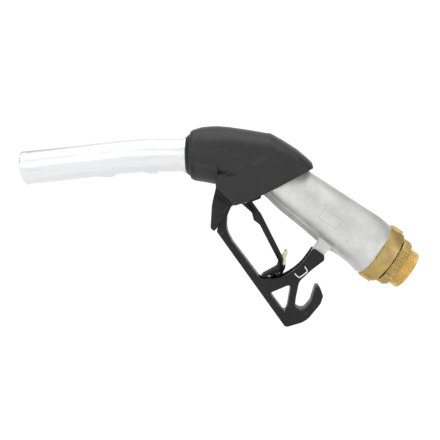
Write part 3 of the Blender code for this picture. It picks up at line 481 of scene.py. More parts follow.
def cast_aluminium():
    place = place_of()
    along = stretched(place, (60.0, 60.0, 60.0))
    grit = noise(place, 1100.0, 3.0, 0.65)
    pores = noise(place, 420.0, 2.0).step(0.67, 0.73)
    cloud = noise(along, 0.55, 5.0, 0.6)
    stain = noise(place, 34.0, 7.0, 0.72).step(0.56, 0.74)
    specks = noise(place, 260.0, 2.0).step(0.70, 0.75)
    drag = noise(stretched(place, (35.0, 35.0, 400.0), (0.0, math.radians(57.0), 0.0)), 1.0, 4.0)
    colour = mix(cloud.step(0.3, 0.7), (0.62, 0.62, 0.605), (0.76, 0.76, 0.75))
    colour = mix(stain * 0.45, colour, (0.52, 0.50, 0.46))
    split = [Wire.node("ShaderNodeSeparateXYZ", None, {0: place}, output=axis) for axis in (0, 2)]
    along_grip = split[0] * -math.cos(TILT) + split[1] * math.sin(TILT) - FRAME_PLACE[0]
    over_grip = split[0] * math.sin(TILT) + split[1] * math.cos(TILT) - FRAME_PLACE[1]
    reach = (along_grip.maths("ABSOLUTE") - FRAME_SIZE[0]).maths(
        "MAXIMUM", over_grip.maths("ABSOLUTE") - FRAME_SIZE[1])
    frame_line = 1.0 - reach.maths("ABSOLUTE").step(*FRAME_EDGE)
    colour = mix(drag.step(0.55, 0.75) * 0.3, colour, (0.76, 0.76, 0.75))
    return {
        "Base Color": mix(specks * 0.5 + pores * 0.35 + frame_line * 0.3, colour, (0.24, 0.23, 0.21)),
        "Metallic": 0.92 - stain * 0.25,
        "Roughness": 0.40 + cloud * 0.10 + stain * 0.14 + grit * 0.05,
        "Normal": bump(
            grit * 0.45 - pores * 0.8 + drag * 0.3 + cloud * 0.5 - frame_line * 1.6, 0.35, 0.00022),
    }


CAST = finish("cast_aluminium", cast_aluminium)

BODY_STATIONS = [
    # centre, slope in degrees, above, below, half-width, lower power
    (on_grip(0.0453), 33.1, 0.0326, 0.0326, 0.0326, 2.0), (on_grip(0.050), 33.1, 0.0334, 0.0334, 0.0334, 2.0),
    (on_grip(0.062), 33.1, 0.0348, 0.0310, 0.0325, 2.0), (on_grip(0.085), 33.1, 0.0348, 0.0286, 0.0315, 2.0),
    (on_grip(0.112), 33.1, 0.0348, 0.0254, 0.0305, 2.0), (on_grip(0.140), 33.1, 0.0348, 0.0220, 0.0295, 2.0),
    (on_grip(0.166), 33.1, 0.0348, 0.0194, 0.0286, 2.0),
    (Vector((-0.160, 0, 0.104)), 28.0, 0.0365, 0.0150, 0.0280, 2.2),
    (Vector((-0.178, 0, 0.117)), 18.0, 0.0340, 0.0170, 0.0275, 2.4),
    (Vector((-0.198, 0, 0.128)), 8.0, 0.0310, 0.0215, 0.0268, 2.3),
    (Vector((-0.216, 0, 0.1345)), 2.0, 0.0275, 0.0244, 0.0258, 2.0),
    (Vector((-0.232, 0, SPOUT_LEVEL)), 0.0, 0.0254, 0.0254, 0.0254, 2.0),
    (Vector((-0.253, 0, SPOUT_LEVEL)), 0.0, 0.0254, 0.0254, 0.0254, 2.0)]


def between(stations, count):
    """Smooth stations through the given ones, by a curve that passes each of them."""
    table = np.array([[*s[0], *s[1:]] for s in stations])
    result = []
    for share in np.linspace(0.0, len(table) - 1.0001, count):
        i = int(share)
        t = share - i
        p = [table[min(max(i + k, 0), len(table) - 1)] for k in (-1, 0, 1, 2)]
        value = 0.5 * (2 * p[1] + (p[2] - p[0]) * t + (2 * p[0] - 5 * p[1] + 4 * p[2] - p[3]) * t ** 2
                       + (3 * p[1] - p[0] - 3 * p[2] + p[3]) * t ** 3)
        result.append((Vector(value[:3]), *value[3:]))
    return result


def oval(centre, slope, above, below, half_width, lower_power=2.0, around=96, upper_power=2.0):
    angle = math.radians(slope)
    up = Vector((math.sin(angle), 0.0, math.cos(angle)))
    row = []
    for i in range(around):
        turn = math.tau * i / around
        across, rise = math.cos(turn), math.sin(turn)
        power = upper_power if rise >= 0 else lower_power
        reach = above if rise >= 0 else below
        across = math.copysign(abs(across) ** (2.0 / power), across)
        rise = math.copysign(abs(rise) ** (2.0 / power), rise)
        row.append(centre + Vector((0.0, across * half_width, 0.0)) + up * rise * reach)
    return row


KEEL_HALF = 0.0035
KEEL_DEPTH = 0.0032


def with_keel(station):
    """A section of the grip with the keel drawn down from its lowest line, its flanks hollowed."""
    centre, slope, above, below, half_width, power = station
    row = oval(centre, slope, above, below, half_width, power)
    u = -centre.x * math.cos(TILT) + centre.z * math.sin(TILT)
    share = ramp(u, 0.074, 0.098) * (1 - ramp(u, 0.196, 0.206))
    down = -Vector((math.sin(math.radians(slope)), 0.0, math.cos(math.radians(slope))))
    for point in row:
        lower = (point - centre).dot(down)
        if lower > 0 and share > 0:
            off = abs(point.y)
            stand = 1 - ramp(off, KEEL_HALF * 0.75, KEEL_HALF * 1.5)
            hollow = ramp(off, KEEL_HALF * 1.1, KEEL_HALF * 2.2) * (1 - ramp(off, 0.0085, 0.016))
            point += down * share * (KEEL_DEPTH * stand - 0.0016 * hollow)
    return row


casting = grid_mesh("body_casting", [with_keel(s) for s in between(BODY_STATIONS, 90)], caps=(True, True))


def rounded(corners, steps=8):
    """An outline whose corners (x, z, radius), in millimetres, are turned into arcs."""
    outline = []
    count = len(corners)
    for i, (x, z, radius) in enumerate(corners):
        here = Vector((x, z))
        if radius == 0:
            outline.append(here * MM)
            continue
        before = Vector(corners[i - 1][:2]) - here
        after = Vector(corners[(i + 1) % count][:2]) - here
        half = before.angle(after) / 2
        radius = min(radius, 0.49 * min(before.length, after.length) * math.tan(half))
        before.normalize()
        after.normalize()
        centre = here + (before + after).normalized() * radius / math.sin(half)
        start = here + before * radius / math.tan(half) - centre
        end = here + after * radius / math.tan(half) - centre
        sweep = start.angle_signed(end)
        for k in range(steps + 1):
            outline.append((centre + Matrix.Rotation(-sweep * k / steps, 2) @ start) * MM)
    return outline


def plate(name, outlines, width, offset=0.0):
    """A flat outline in XZ, with holes, made width thick along Y."""
    curve = bpy.data.curves.new(name, "CURVE")
    curve.dimensions = "2D"
    curve.fill_mode = "BOTH"
    curve.extrude = width / 2
    for outline in outlines:
        spline = curve.splines.new("POLY")
        spline.points.add(len(outline) - 1)
        for point, (x, z) in zip(spline.points, outline):
            point.co = (x, z, 0.0, 1.0)
        spline.use_cyclic_u = True
    drawn = bpy.data.objects.new(name, curve)
    bpy.context.scene.collection.objects.link(drawn)
    bpy.context.view_layer.update()
    mesh = bpy.data.meshes.new_from_object(drawn.evaluated_get(bpy.context.evaluated_depsgraph_get()))
    bpy.data.objects.remove(drawn, do_unlink=True)
    mesh.name = name
    shape = bmesh.new()
    shape.from_mesh(mesh)
    bmesh.ops.remove_doubles(shape, verts=shape.verts, dist=2e-6)
    bmesh.ops.dissolve_limit(shape, angle_limit=0.01, verts=shape.verts, edges=shape.edges)
    bmesh.ops.transform(shape, verts=shape.verts,
                        matrix=Matrix.Translation((0, offset, 0)) @ Matrix.Rotation(math.pi / 2, 4, "X"))
    bmesh.ops.recalc_face_normals(shape, faces=shape.faces)
    shape.to_mesh(mesh)
    shape.free()
    return mesh


def cylinder(name, radius, start, end, around=48):
    """A plain round cutter between two points."""
    start, end = Vector(start), Vector(end)
    turn = (end - start).to_track_quat("Z", "Y").to_matrix().to_4x4()
    shape = bmesh.new()
    bmesh.ops.create_cone(shape, cap_ends=True, segments=around, radius1=radius, radius2=radius,
                          depth=(end - start).length, matrix=Matrix.Translation((start + end) / 2) @ turn)
    mesh = bpy.data.meshes.new(name)
    shape.to_mesh(mesh)
    shape.free()
    return mesh


def box_mesh(name, low, high):
    shape = bmesh.new()
    low, high = Vector(low), Vector(high)
    size = Matrix.Diagonal((*(high - low), 1.0))
    bmesh.ops.create_cube(shape, size=1.0, matrix=Matrix.Translation((low + high) / 2) @ size)
    mesh = bpy.data.meshes.new(name)
    shape.to_mesh(mesh)
    shape.free()
    return mesh


def carve(mesh, steps, bevel=0.0, segments=3, limit=35.0, crease=40.0):
    """Joins and cuts a mesh with others, then rounds its edges; gives the finished mesh."""
    target = bpy.data.objects.new(mesh.name, mesh)
    bpy.context.scene.collection.objects.link(target)
    helpers = []
    for operation, others in steps:
        group = bpy.data.collections.new(operation)
        bpy.context.scene.collection.children.link(group)
        for other in others:
            helper = bpy.data.objects.new(other.name, other)
            group.objects.link(helper)
            helpers.append(helper)
        boolean = target.modifiers.new(operation, "BOOLEAN")
        boolean.operation = operation
        boolean.operand_type = "COLLECTION"
        boolean.collection = group
    if bevel:
        rounding = target.modifiers.new("rounding", "BEVEL")
        rounding.width = bevel
        rounding.segments = segments
        rounding.limit_method = "ANGLE"
        rounding.angle_limit = math.radians(limit)
        rounding.use_clamp_overlap = True
        rounding.harden_normals = True
    bpy.context.view_layer.update()
    result = bpy.data.meshes.new_from_object(
        target.evaluated_get(bpy.context.evaluated_depsgraph_get()))
    name = mesh.name
    bpy.data.objects.remove(target, do_unlink=True)
    for helper in helpers:
        bpy.data.objects.remove(helper, do_unlink=True)
    for group in list(bpy.data.collections):
        if group.name.startswith(("UNION", "DIFFERENCE", "INTERSECT")):
            bpy.data.collections.remove(group)
    result.name = name
    smooth(result, crease)
    return result


LUG_CORNERS = [(-106.5, 46.0, 0), (-104.9, 34.6, 3), (-112.4, 22.0, 3), (-112.6, 13.8, 4), (-107.6, 10.9, 3),
               (-102.4, 14.0, 3), (-92.4, 24.4, 3), (-83.0, 33.0, 0)]
lug = carve(plate("casting_lug", [rounded(LUG_CORNERS)], 0.0194), [], 0.0016)
FORK_CORNERS = [(-219.5, 124.0, 0), (-219.5, 80.5, 5), (-207.0, 78.4, 5), (-190.0, 79.6, 8),
                (-180.5, 85.6, 8), (-172.0, 112.0, 0)]
fork = carve(plate("casting_fork", [rounded(FORK_CORNERS)], 0.030),
             [("DIFFERENCE", [box_mesh("fork_gap", (-0.23, -0.0116, 0.06), (-0.165, 0.0116, 0.0995))])])
bore = cylinder("grip_bore", 0.0221, on_grip(0.02), on_grip(0.12), 64)
casting = carve(casting, [("UNION", [lug, fork]), ("DIFFERENCE", [bore])])
piece_of("body_casting", casting, CAST, "cast_aluminium", "root", "body")

# ------------------------------------------------------------------ hood
# A thick rubber boot pulled over the head: a round nose, flared cheeks that come down to the
# guard, and a peak over the grip. Its surface is satin from the mould and dusty in the folds.
EMBLEM = (-0.1450, 0.1300)       # plain oval ridge, centre
EMBLEM_HALVES = (0.0150, 0.0085)


def boot_rubber():
    place = place_of()
    grain = noise(place, 1300.0, 2.0, 0.6)
    orange = noise(place, 170.0, 3.0)
    cloud = noise(place, 20.0, 4.0, 0.6)
    dust = noise(place, 48.0, 7.0, 0.75).step(0.54, 0.76)
    split = [Wire.node("ShaderNodeSeparateXYZ", None, {0: place}, output=axis) for axis in (0, 2)]
    long_way = (split[0] - EMBLEM[0]) * math.cos(TILT) - (split[1] - EMBLEM[1]) * math.sin(TILT)
    short_way = (split[0] - EMBLEM[0]) * math.sin(TILT) + (split[1] - EMBLEM[1]) * math.cos(TILT)
    radial = ((long_way / EMBLEM_HALVES[0]) ** 2 + (short_way / EMBLEM_HALVES[1]) ** 2) ** 0.5
    emblem = 1.0 - (radial - 0.92).maths("ABSOLUTE").step(0.03, 0.09)
    emblem = emblem + (1.0 - radial.step(0.42, 0.50)) * 0.9
    rubs = noise(stretched(place, (18.0, 260.0, 90.0), (0.2, 0.5, 0.1)), 1.0, 3.0).step(0.60, 0.72)
    colour = mix(cloud, (0.0125, 0.0125, 0.0135), (0.0215, 0.0215, 0.0225))
    colour = mix(dust * 0.35, colour, (0.050, 0.050, 0.052))
    return {
        "Base Color": mix(rubs * 0.22, colour, (0.062, 0.062, 0.065)),
        "Roughness": 0.38 + cloud * 0.12 + dust * 0.12 + orange * 0.04,
        "Normal": bump(grain * 0.35 + orange * 0.8 + cloud * 0.5 + emblem * 4.0, 0.30, 0.00018),
    }


RUBBER = finish("boot_rubber", boot_rubber, Specular_IOR_Level=0.42)

HOOD_STATIONS = np.array([
    # x, top, bottom, half-width, lower power, level of the widest line, in millimetres
    (-256.0, 164.2, 109.0, 28.0, 2.0, 136.5), (-255.3, 165.3, 107.8, 29.2, 2.0, 136.5),
    (-252.0, 166.8, 106.0, 30.6, 2.1, 136.5), (-243.0, 169.3, 104.6, 32.0, 2.2, 136.5),
    (-234.0, 170.2, 103.0, 32.6, 2.3, 136.5), (-226.0, 170.4, 101.4, 32.9, 2.4, 136.5),
    (-222.4, 170.4, 100.4, 33.0, 2.4, 136.5), (-221.6, 170.3, 58.0, 33.1, 3.6, 136.5),
    (-210.0, 169.2, 56.0, 33.3, 3.6, 136.5), (-193.0, 166.7, 56.0, 33.6, 3.4, 136.5),
    (-180.0, 164.5, 58.0, 33.8, 3.2, 136.5), (-166.0, 162.0, 60.0, 34.1, 3.0, 136.5),
    (-162.5, 162.0, 60.0, 34.1, 3.0, 136.0), (-158.0, 159.7, 62.0, 34.2, 3.0, 134.0),
    (-146.7, 153.0, 64.0, 34.2, 2.9, 130.0), (-130.9, 142.8, 70.0, 33.8, 2.8, 122.0),
    (-119.6, 133.7, 80.0, 32.0, 2.6, 114.0), (-114.6, 129.0, 84.0, 30.5, 2.5, 110.0),
    (-113.0, 126.8, 86.0, 29.4, 2.5, 108.0), (-112.3, 123.6, 88.0, 28.2, 2.5, 107.0)])
CREASE_X = (-254.0, -222.0, -192.0)
CREASE_Z = (128.5, 121.0, 112.5)
CHEEK_TOP_X = (-222.0, -192.0)
CHEEK_TOP_Z = (112.5, 109.5)
RIB_PITCH, RIB_RISE = 2.3, 0.45
HOOD_FINE = 1440        # points round a section before they are spaced evenly
HOOD_TOP_POWER = 2.15


def hood_row(x, around=200):
    """One section of the boot: its oval, the fold under the nose, the cheeks, and the thumb ribs."""
    top, bottom, half, power, middle = [
        np.interp(x, HOOD_STATIONS[:, 0], column) for column in HOOD_STATIONS.T[1:]]
    dense = np.array(oval(
        Vector((x, 0.0, middle)), 0.0, top - middle, middle - bottom, half, power, HOOD_FINE, HOOD_TOP_POWER))
    dense = np.vstack([dense, dense[:1]])
    row = []
    for half_row in (dense[:HOOD_FINE // 2 + 1], dense[HOOD_FINE // 2:]):
        walked = np.concatenate([[0.0], np.cumsum(np.linalg.norm(np.diff(half_row, axis=0), axis=1))])
        for place in np.linspace(0.0, walked[-1], around // 2, endpoint=False):
            row.append(Vector(np.interp(place, walked, half_row[:, axis]) for axis in range(3)))
    crease = np.interp(x, CREASE_X, CREASE_Z)
    cheek_top = np.interp(x, CHEEK_TOP_X, CHEEK_TOP_Z)
    fold = ramp(x, -255.5, -250.0) * (1 - ramp(x, -212.0, -191.0))
    ribs = ramp(x, -152.0, -150.0) * (1 - ramp(x, -127.0, -125.0))
    wave = 0.5 + 0.5 * math.cos(math.tau * x / RIB_PITCH)
    for point in row:
        tuck = ramp(crease - point.z, -0.6, 6.0)
        if x > -222.0:
            tuck *= 1 - ramp(cheek_top - point.z, -2.2, 0.8)
            point.x -= 3.0 * ramp(cheek_top - point.z, 0.0, 11.0) * (1 - ramp(x, -221.5, -206.0))
        point.y -= math.copysign(min(abs(point.y), 4.2 * fold * tuck), point.y)
        if point.z > middle:
            point.z += RIB_RISE * wave * ribs * (1 - ramp(abs(point.y), 10.0, 13.0))
    return [point * MM for point in row]


stops = list(np.linspace(-256.0, -222.4, 56)) + list(np.linspace(-221.6, -153.0, 100))
stops += list(np.linspace(-152.5, -124.5, 98)) + list(np.linspace(-124.0, -112.3, 24))
skin = grid_mesh("hood_boot", [hood_row(x) for x in stops], caps=(True, True))
HOOD_EDGE = [(-90.0, 125.6), (-112.4, 120.4), (-127.0, 112.2), (-155.0, 97.0), (-187.0, 81.6),
             (-203.0, 77.0), (-224.6, 98.0), (-224.6, 101.4), (-262.0, 107.0), (-262.0, 20.0),
             (-90.0, 20.0)]
HOOD_EDGE = [Vector(corner) * MM for corner in HOOD_EDGE]
edge_cut = plate("edge_cut", [HOOD_EDGE], 0.12)
inside = grid_mesh("hood_inside", [oval(c, s, a + FIT, b + FIT, h + FIT, p)
                                   for c, s, a, b, h, p in between(BODY_STATIONS, 70)], caps=(True, True))
mouth = cylinder("hood_mouth", 0.0257, (-0.262, 0, SPOUT_LEVEL), (-0.236, 0, SPOUT_LEVEL), 96)
slot = box_mesh("hood_slot", (-0.224, -0.0153, 0.04), (-0.168, 0.0153, 0.125))
keel_room = box_mesh("keel_room", (-0.180, -0.0038, 0.06), (-0.120, 0.0038, 0.110))
boot = carve(skin, [("DIFFERENCE", [edge_cut, inside, mouth, slot, keel_room])], 0.0010, 3, 38.0)
piece_of("hood_boot", boot, RUBBER, "hood_rubber", "root", "hood")

# ------------------------------------------------------------------ guard
# One black nylon moulding. Its channel takes the lever's foot, its web has a triangle hole for
# lightness, and its hook hangs the nozzle up. It is pinned to the fork in front and the lug behind.
GUARD_OUTLINE = [
    (-218.8, 95.0, 3), (-221.0, 66.0, 6), (-224.6, 45.6, 2), (-143.2, -67.6, 5), (-119.0, -60.0, 26),
    (-102.2, -39.0, 16), (-99.2, -29.6, 5), (-103.4, -18.4, 2), (-107.4, -18.8, 2),
    (-113.2, -38.0, 10), (-122.0, -48.6, 9), (-132.2, -43.6, 5), (-131.2, -32.0, 12),
    (-127.4, -12.6, 14), (-112.0, 2.0, 30), (-98.2, 12.6, 4), (-98.4, 18.4, 1.5), (-111.0, 26.8, 1.5),
    (-126.0, 5.6, 60), (-147.4, -8.6, 45), (-172.0, -11.6, 12),
    (-206.5, 33.5, 25), (-214.0, 48.0, 30), (-213.0, 64.0, 6), (-206.8, 78.0, 3), (-207.4, 92.0, 3)]
TRIANGLE = [
    (-162.4, -27.0, 3), (-143.8, -51.8, 4), (-140.6, -44.0, 6),
    (-136.6, -18.6, 4), (-140.5, -17.4, 4)]
CHANNEL = [(-167.0, 20.0, 0), (-175.5, -11.0, 4), (-164.0, -18.2, 6), (-143.0, -13.8, 40), (-119.0, -0.2, 40),
           (-101.6, 13.6, 3), (-92.0, 21.2, 0), (-96.0, 40.0, 0), (-126.0, 40.0, 0)]
GUARD_HALF = 0.0135


def across(name, radius, place, half=0.03, around=32):
    x, z = place[0] * MM, place[1] * MM
    return cylinder(name, radius * MM, (x, -half, z), (x, half, z), around)


GUARD_HOLES = [((-213.0, 84.5), 2.8), ((-180.4, -7.6), 1.9), ((-142.5, -10.2), 1.9),
               ((-121.0, 5.2), 1.35), ((-132.8, -3.2), 1.35)]
guard_cuts = [
    plate("channel", [rounded(CHANNEL)], 0.020),
    cylinder("pin_hole", 0.0028, (-0.106, -0.012, 0.0166), (-0.106, 0.030, 0.0166)),
    box_mesh("tongue_side_a", (-0.24, -0.02, 0.0666), (-0.19, -0.008, 0.11)),
    box_mesh("tongue_side_b", (-0.24, 0.008, 0.0666), (-0.19, 0.02, 0.11))]
guard_cuts += [across(f"guard_hole_{i}", radius, place) for i, (place, radius) in enumerate(GUARD_HOLES)]
guard = carve(plate("guard_moulding", [rounded(GUARD_OUTLINE), rounded(TRIANGLE)], 2 * GUARD_HALF),
              [("DIFFERENCE", guard_cuts)], 0.0012, 3, 40.0)
piece_of("guard_moulding", guard, NYLON, "black_nylon", "root", "lever_guard")

# ------------------------------------------------------------------ fairing
# A nylon cap that closes the front of the guard and the hood's cheeks, with a step along its top.
FAIRING = [(-225.4, 98.2, 1), (-230.2, 78.0, 60), (-231.8, 50.0, 4), (-227.4, 46.0, 2), (-213.6, 66.4, 3),
           (-209.6, 73.4, 12), (-204.2, 77.6, 1)]
FAIRING_ROOM = [(-222.2, 110.0), (-222.6, 66.6), (-225.8, 44.0), (-190.0, 40.0), (-190.0, 110.0)]
FAIRING_ROOM = [Vector(corner) * MM for corner in FAIRING_ROOM]
fairing_cuts = [
    plate("fairing_room", [FAIRING_ROOM], 0.0306),
    cylinder("fairing_hole", 0.0028, (-0.213, 0.0, 0.0845), (-0.213, 0.03, 0.0845))]
for side in (-1, 1):
    groove = [Vector(c) * MM for c in ((-229.0, 93.6), (-228.2, 94.5), (-206.6, 74.4), (-207.4, 73.5))]
    fairing_cuts.append(plate(f"fairing_groove_{side}", [groove], 0.0012, side * 0.0165))
fairing = carve(plate("fairing_cap", [rounded(FAIRING)], 0.033), [("DIFFERENCE", fairing_cuts)], 0.0009, 3)
piece_of("fairing_cap", fairing, NYLON, "black_nylon", "root", "guard_fairing")

# ------------------------------------------------------------------ lever
# Black nylon over a steel core, with a step that stops the fingers and a forked foot that runs in
# the guard's channel. Its short upper arm carries the roller that lifts the valve.
LEVER = [
    (-197.0, 92.0, 6), (-196.4, 79.4, 6), (-183.4, 68.0, 6), (-181.2, 59.4, 2), (-174.0, 53.8, 3),
    (-151.6, 10.6, 5), (-153.0, 4.4, 4), (-172.2, -6.4, 1.2), (-170.6, -9.4, 1.4), (-146.6, -1.6, 2.5),
    (-146.4, 14.6, 8), (-172.0, 65.6, 12), (-184.0, 82.0, 6), (-184.4, 90.0, 4)]
ARM = [(-196.0, 89.0, 3), (-188.0, 79.0, 3), (-172.4, 85.0, 3), (-173.0, 92.2, 3), (-188.0, 92.0, 3)]
lever_cuts = [across("hinge_bore", 2.8, (-190.0, 85.0)), across("latch_bore", 2.3, (-152.5, -4.8)),
              across("axle_bore", 1.8, (-176.0, 89.0)),
              cylinder("roller_gap", 0.0052, (-0.176, -0.0043, 0.089), (-0.176, 0.0043, 0.089)),
              box_mesh("foot_slot", (-0.169, -0.0045, -0.016), (-0.138, 0.0045, 0.034))]
lever = carve(plate("lever_grip", [rounded(LEVER)], 0.016),
              [("UNION", [plate("lever_arm", [rounded(ARM)], 0.016)]), ("DIFFERENCE", lever_cuts)],
              0.0013, 3, 40.0)
piece_of("lever_grip", lever, NYLON, "black_nylon", "lever", "lever")

# ------------------------------------------------------------------ hold-open latch and staple
# A stamped steel latch, zinc plated and yellow passivated, that catches the wire staple's legs. Its nose is
# painted near black as painted shade, for the shadow where it sits in the guard's channel.
def yellow_zinc_with_painted_shade():
    place = place_of()
    bloom = noise(place, 130.0, 4.0, 0.6)
    wear = noise(place, 300.0, 5.0, 0.7).step(0.55, 0.70)
    grain = noise(stretched(place, (200.0, 200.0, 1500.0)), 1.0, 3.0)
    colour = mix(bloom.step(0.35, 0.65), (0.80, 0.71, 0.44), (0.72, 0.66, 0.52))
    colour = mix(wear * 0.6, colour, (0.78, 0.77, 0.74))
    height = Wire.node("ShaderNodeSeparateXYZ", None, {0: place}, output=2)
    tip = (height + noise(place, 120.0) * 0.003).step(0.0220, 0.0236)
    # painted shade: below this height line the latch's nose is coloured near black, standing in for the
    # shadow inside the guard's channel
    nose = (height + noise(place, 200.0) * 0.002).step(0.0050, 0.0075)
    colour = mix(tip, colour, (0.42, 0.36, 0.27))
    return {
        # the near-black colour on the nose is painted shade, not the zinc finish
        "Base Color": mix(nose, (0.035, 0.034, 0.032), colour),
        "Roughness": 0.26 + bloom * 0.14 + wear * 0.10,
        "Normal": bump(grain * 0.5 + bloom * 0.4, 0.2, 0.00008),
    }


ZINC = finish("yellow_zinc_with_painted_shade", yellow_zinc_with_painted_shade, Metallic=1.0)


def bright_steel():
    place = place_of()
    lines = noise(stretched(place, (700.0, 150.0, 700.0)), 1.0, 4.0)
    dull = noise(place, 160.0, 5.0, 0.7).step(0.50, 0.72)
    return {
        "Base Color": mix(dull * 0.5, (0.72, 0.72, 0.73), (0.46, 0.45, 0.43)),
        "Roughness": 0.20 + lines * 0.12 + dull * 0.18,
        "Normal": bump(lines * 0.5 + dull * 0.3, 0.18, 0.00008),
    }


STEEL = finish("bright_steel", bright_steel, Metallic=1.0)

LATCH = [(-164.6, -13.8, 1.2), (-160.8, -14.6, 1.2), (-156.0, -9.4, 4), (-148.4, -9.0, 3), (-143.2, 2.0, 3),
         (-142.8, 13.6, 2), (-140.4, 19.6, 2), (-142.4, 26.0, 1), (-147.4, 17.4, 2), (-146.6, 8.0, 3),
         (-155.6, -1.4, 3), (-160.0, -6.0, 4)]
latch = carve(plate("latch_plate", [rounded(LATCH)], 0.0034),
              [("DIFFERENCE", [across("latch_eye", 2.3, (-152.5, -4.8))])], 0.0004, 2)
piece_of("latch_plate", latch, ZINC, "zinc_yellow", "latch", "hold_latch")


def bent_wire(name, points, radius, bend=0.003, around=16):
    """A wire through corner points, with rounded bends and flat ends."""
    path = [Vector(points[0])]
    for before, here, after in zip(points, points[1:], points[2:]):
        before, here, after = Vector(before), Vector(here), Vector(after)
        reach = min(bend, 0.45 * (here - before).length, 0.45 * (after - here).length)
        start = here + (before - here).normalized() * reach
        end = here + (after - here).normalized() * reach
        path += [start.lerp(here, k / 8).lerp(here.lerp(end, k / 8), k / 8) for k in range(9)]
    path.append(Vector(points[-1]))
    rows = []
    side = Vector((1, 0, 0))
    for i, point in enumerate(path):
        ahead = (path[min(i + 1, len(path) - 1)] - path[max(i - 1, 0)]).normalized()
        side = (side - ahead * side.dot(ahead)).normalized()
        up = ahead.cross(side)
        rows.append([point + side * radius * math.cos(math.tau * k / around)
                     + up * radius * math.sin(math.tau * k / around) for k in range(around)])
    return grid_mesh(name, rows, caps=(True, True))


LEGS = ((-0.1210, 0.0052), (-0.1328, -0.0032))
FEET = ((-0.1176, -0.0004), (-0.1276, -0.0082))
NEAR, FAR = -0.01485, 0.0140
staple = bent_wire("rung_staple", [
    (LEGS[0][0], FAR, LEGS[0][1]), (LEGS[0][0], NEAR, LEGS[0][1]), (FEET[0][0], NEAR, FEET[0][1]),
    (FEET[1][0], NEAR, FEET[1][1]), (LEGS[1][0], NEAR, LEGS[1][1]), (LEGS[1][0], FAR, LEGS[1][1])],
    0.00105, 0.0022)
piece_of("rung_staple", staple, STEEL, "steel", "root", "ratchet_staple")

# ------------------------------------------------------------------ brass ring and swivel nipple
# A wide cast-brass ring, dulled by age, screws onto the grip and holds the swivel's neck. The
# nipple's serrated flange is tightened by its four lugs; its bright machined thread takes the hose.
def aged_brass():
    place = place_of()
    cloud = noise(place, 60.0, 6.0, 0.65)
    tarnish = noise(place, 24.0, 5.0, 0.6).step(0.38, 0.66)
    specks = noise(place, 420.0, 3.0, 0.6).step(0.60, 0.72)
    grit = noise(place, 900.0, 3.0, 0.6)
    colour = mix(cloud.step(0.3, 0.7), (0.52, 0.37, 0.125), (0.66, 0.50, 0.21))
    colour = mix(tarnish * 0.65, colour, (0.42, 0.31, 0.15))
    return {
        "Base Color": mix(specks * 0.5, colour, (0.22, 0.15, 0.07)),
        "Roughness": 0.34 + cloud * 0.12 + tarnish * 0.10,
        "Normal": bump(grit * 0.4 + cloud * 0.7 - specks * 0.4, 0.16, 0.00010),
    }


AGED_BRASS = finish("aged_brass", aged_brass, Metallic=1.0)


def machined_brass():
    place = place_of()
    cloud = noise(place, 90.0, 5.0, 0.6)
    shade = noise(place, 30.0, 4.0, 0.6).step(0.42, 0.70)
    grain = noise(stretched(place, (1400.0, 120.0, 120.0), (0.0, -TILT, 0.0)), 1.0, 4.0)
    colour = mix(cloud, (0.80, 0.57, 0.22), (0.88, 0.67, 0.31))
    return {
        "Base Color": mix(shade * 0.45, colour, (0.60, 0.42, 0.16)),
        "Roughness": 0.22 + cloud * 0.10 + grain * 0.08,
        "Normal": bump(grain * 0.6 + cloud * 0.3, 0.08, 0.00003),
    }


BRASS = finish("machined_brass", machined_brass, Metallic=1.0)

RING_LOW, RING_HIGH, RING_RADIUS = 0.0270, 0.0450, 0.0326
PAD_REACH, PAD_HALF = 0.0350, 0.0090
ring_body = turned("brass_ring", eased([
    (0.0221, RING_LOW), (RING_RADIUS, RING_LOW), (RING_RADIUS, RING_HIGH), (0.0273, RING_HIGH),
    (0.0273, 0.0335), (0.0221, 0.0335)], 0.0006), INLET_FRAME, 128)


def on_frame(mesh, turn=0.0, place=INLET_FRAME):
    mesh.transform(place @ Matrix.Rotation(turn, 4, "Z"))
    return mesh


pads = []
pockets = []
for i in range(4):
    turn = math.tau * i / 4
    pad = carve(box_mesh(f"ring_pad_{i}", (0.0280, -PAD_HALF, 0.0304), (PAD_REACH, PAD_HALF, 0.0443)), [],
                0.0006, 3)
    pads.append(on_frame(pad, turn))
    frame_low, frame_high = (0.0345, -0.0049, 0.0326), (0.0360, 0.0049, 0.0421)
    pockets.append(on_frame(box_mesh(f"ring_pocket_{i}", frame_low, frame_high), turn))
ring_piece = carve(ring_body, [("UNION", pads), ("DIFFERENCE", pockets)], 0.0002, 2, 50.0)
piece_of("brass_ring", ring_piece, AGED_BRASS, "brass", "root", "inlet_ring")

THREAD_RADIUS, THREAD_END, THREAD_PITCH, THREAD_DEPTH = 0.0240, 0.0144, 0.00231, 0.00095
FLANGE_RADIUS, FLANGE_END, NECK_RADIUS, NECK_END, INLET_BORE = 0.0295, 0.0255, 0.0218, 0.0400, 0.0180


def thread_cut(radius, turn, height):
    """How far the thread's groove pulls the skin in at a turn and height."""
    if radius < THREAD_RADIUS - 0.0016 or not 0.0 <= height <= THREAD_END:
        return 0.0
    wave = abs(((height / THREAD_PITCH + turn / math.tau) % 1.0) - 0.5) * 2.0
    fade = ramp(height, 0.0006, 0.0020) * (1 - ramp(height, THREAD_END - 0.0014, THREAD_END - 0.0004))
    return -THREAD_DEPTH * fade * min(max(1.35 * (1.0 - wave) - 0.12, 0.0), 1.0)


outline = [(INLET_BORE + 0.0005, 0.0), (THREAD_RADIUS - 0.0012, 0.0)]
outline += [(THREAD_RADIUS, height) for height in np.linspace(0.0010, THREAD_END - 0.0003, 84)]
outline += [
    (THREAD_RADIUS - 0.0002, THREAD_END), (NECK_RADIUS, THREAD_END + 0.0012),
    (INLET_BORE, THREAD_END + 0.001), (INLET_BORE, 0.0005)]
thread = turned("nipple_thread", outline, INLET_FRAME, 128, thread_cut)
piece_of("nipple_thread", thread, BRASS, "brass", "swivel", "swivel_nipple")

TEETH = 60
TOOTH_DEPTH = 0.0010


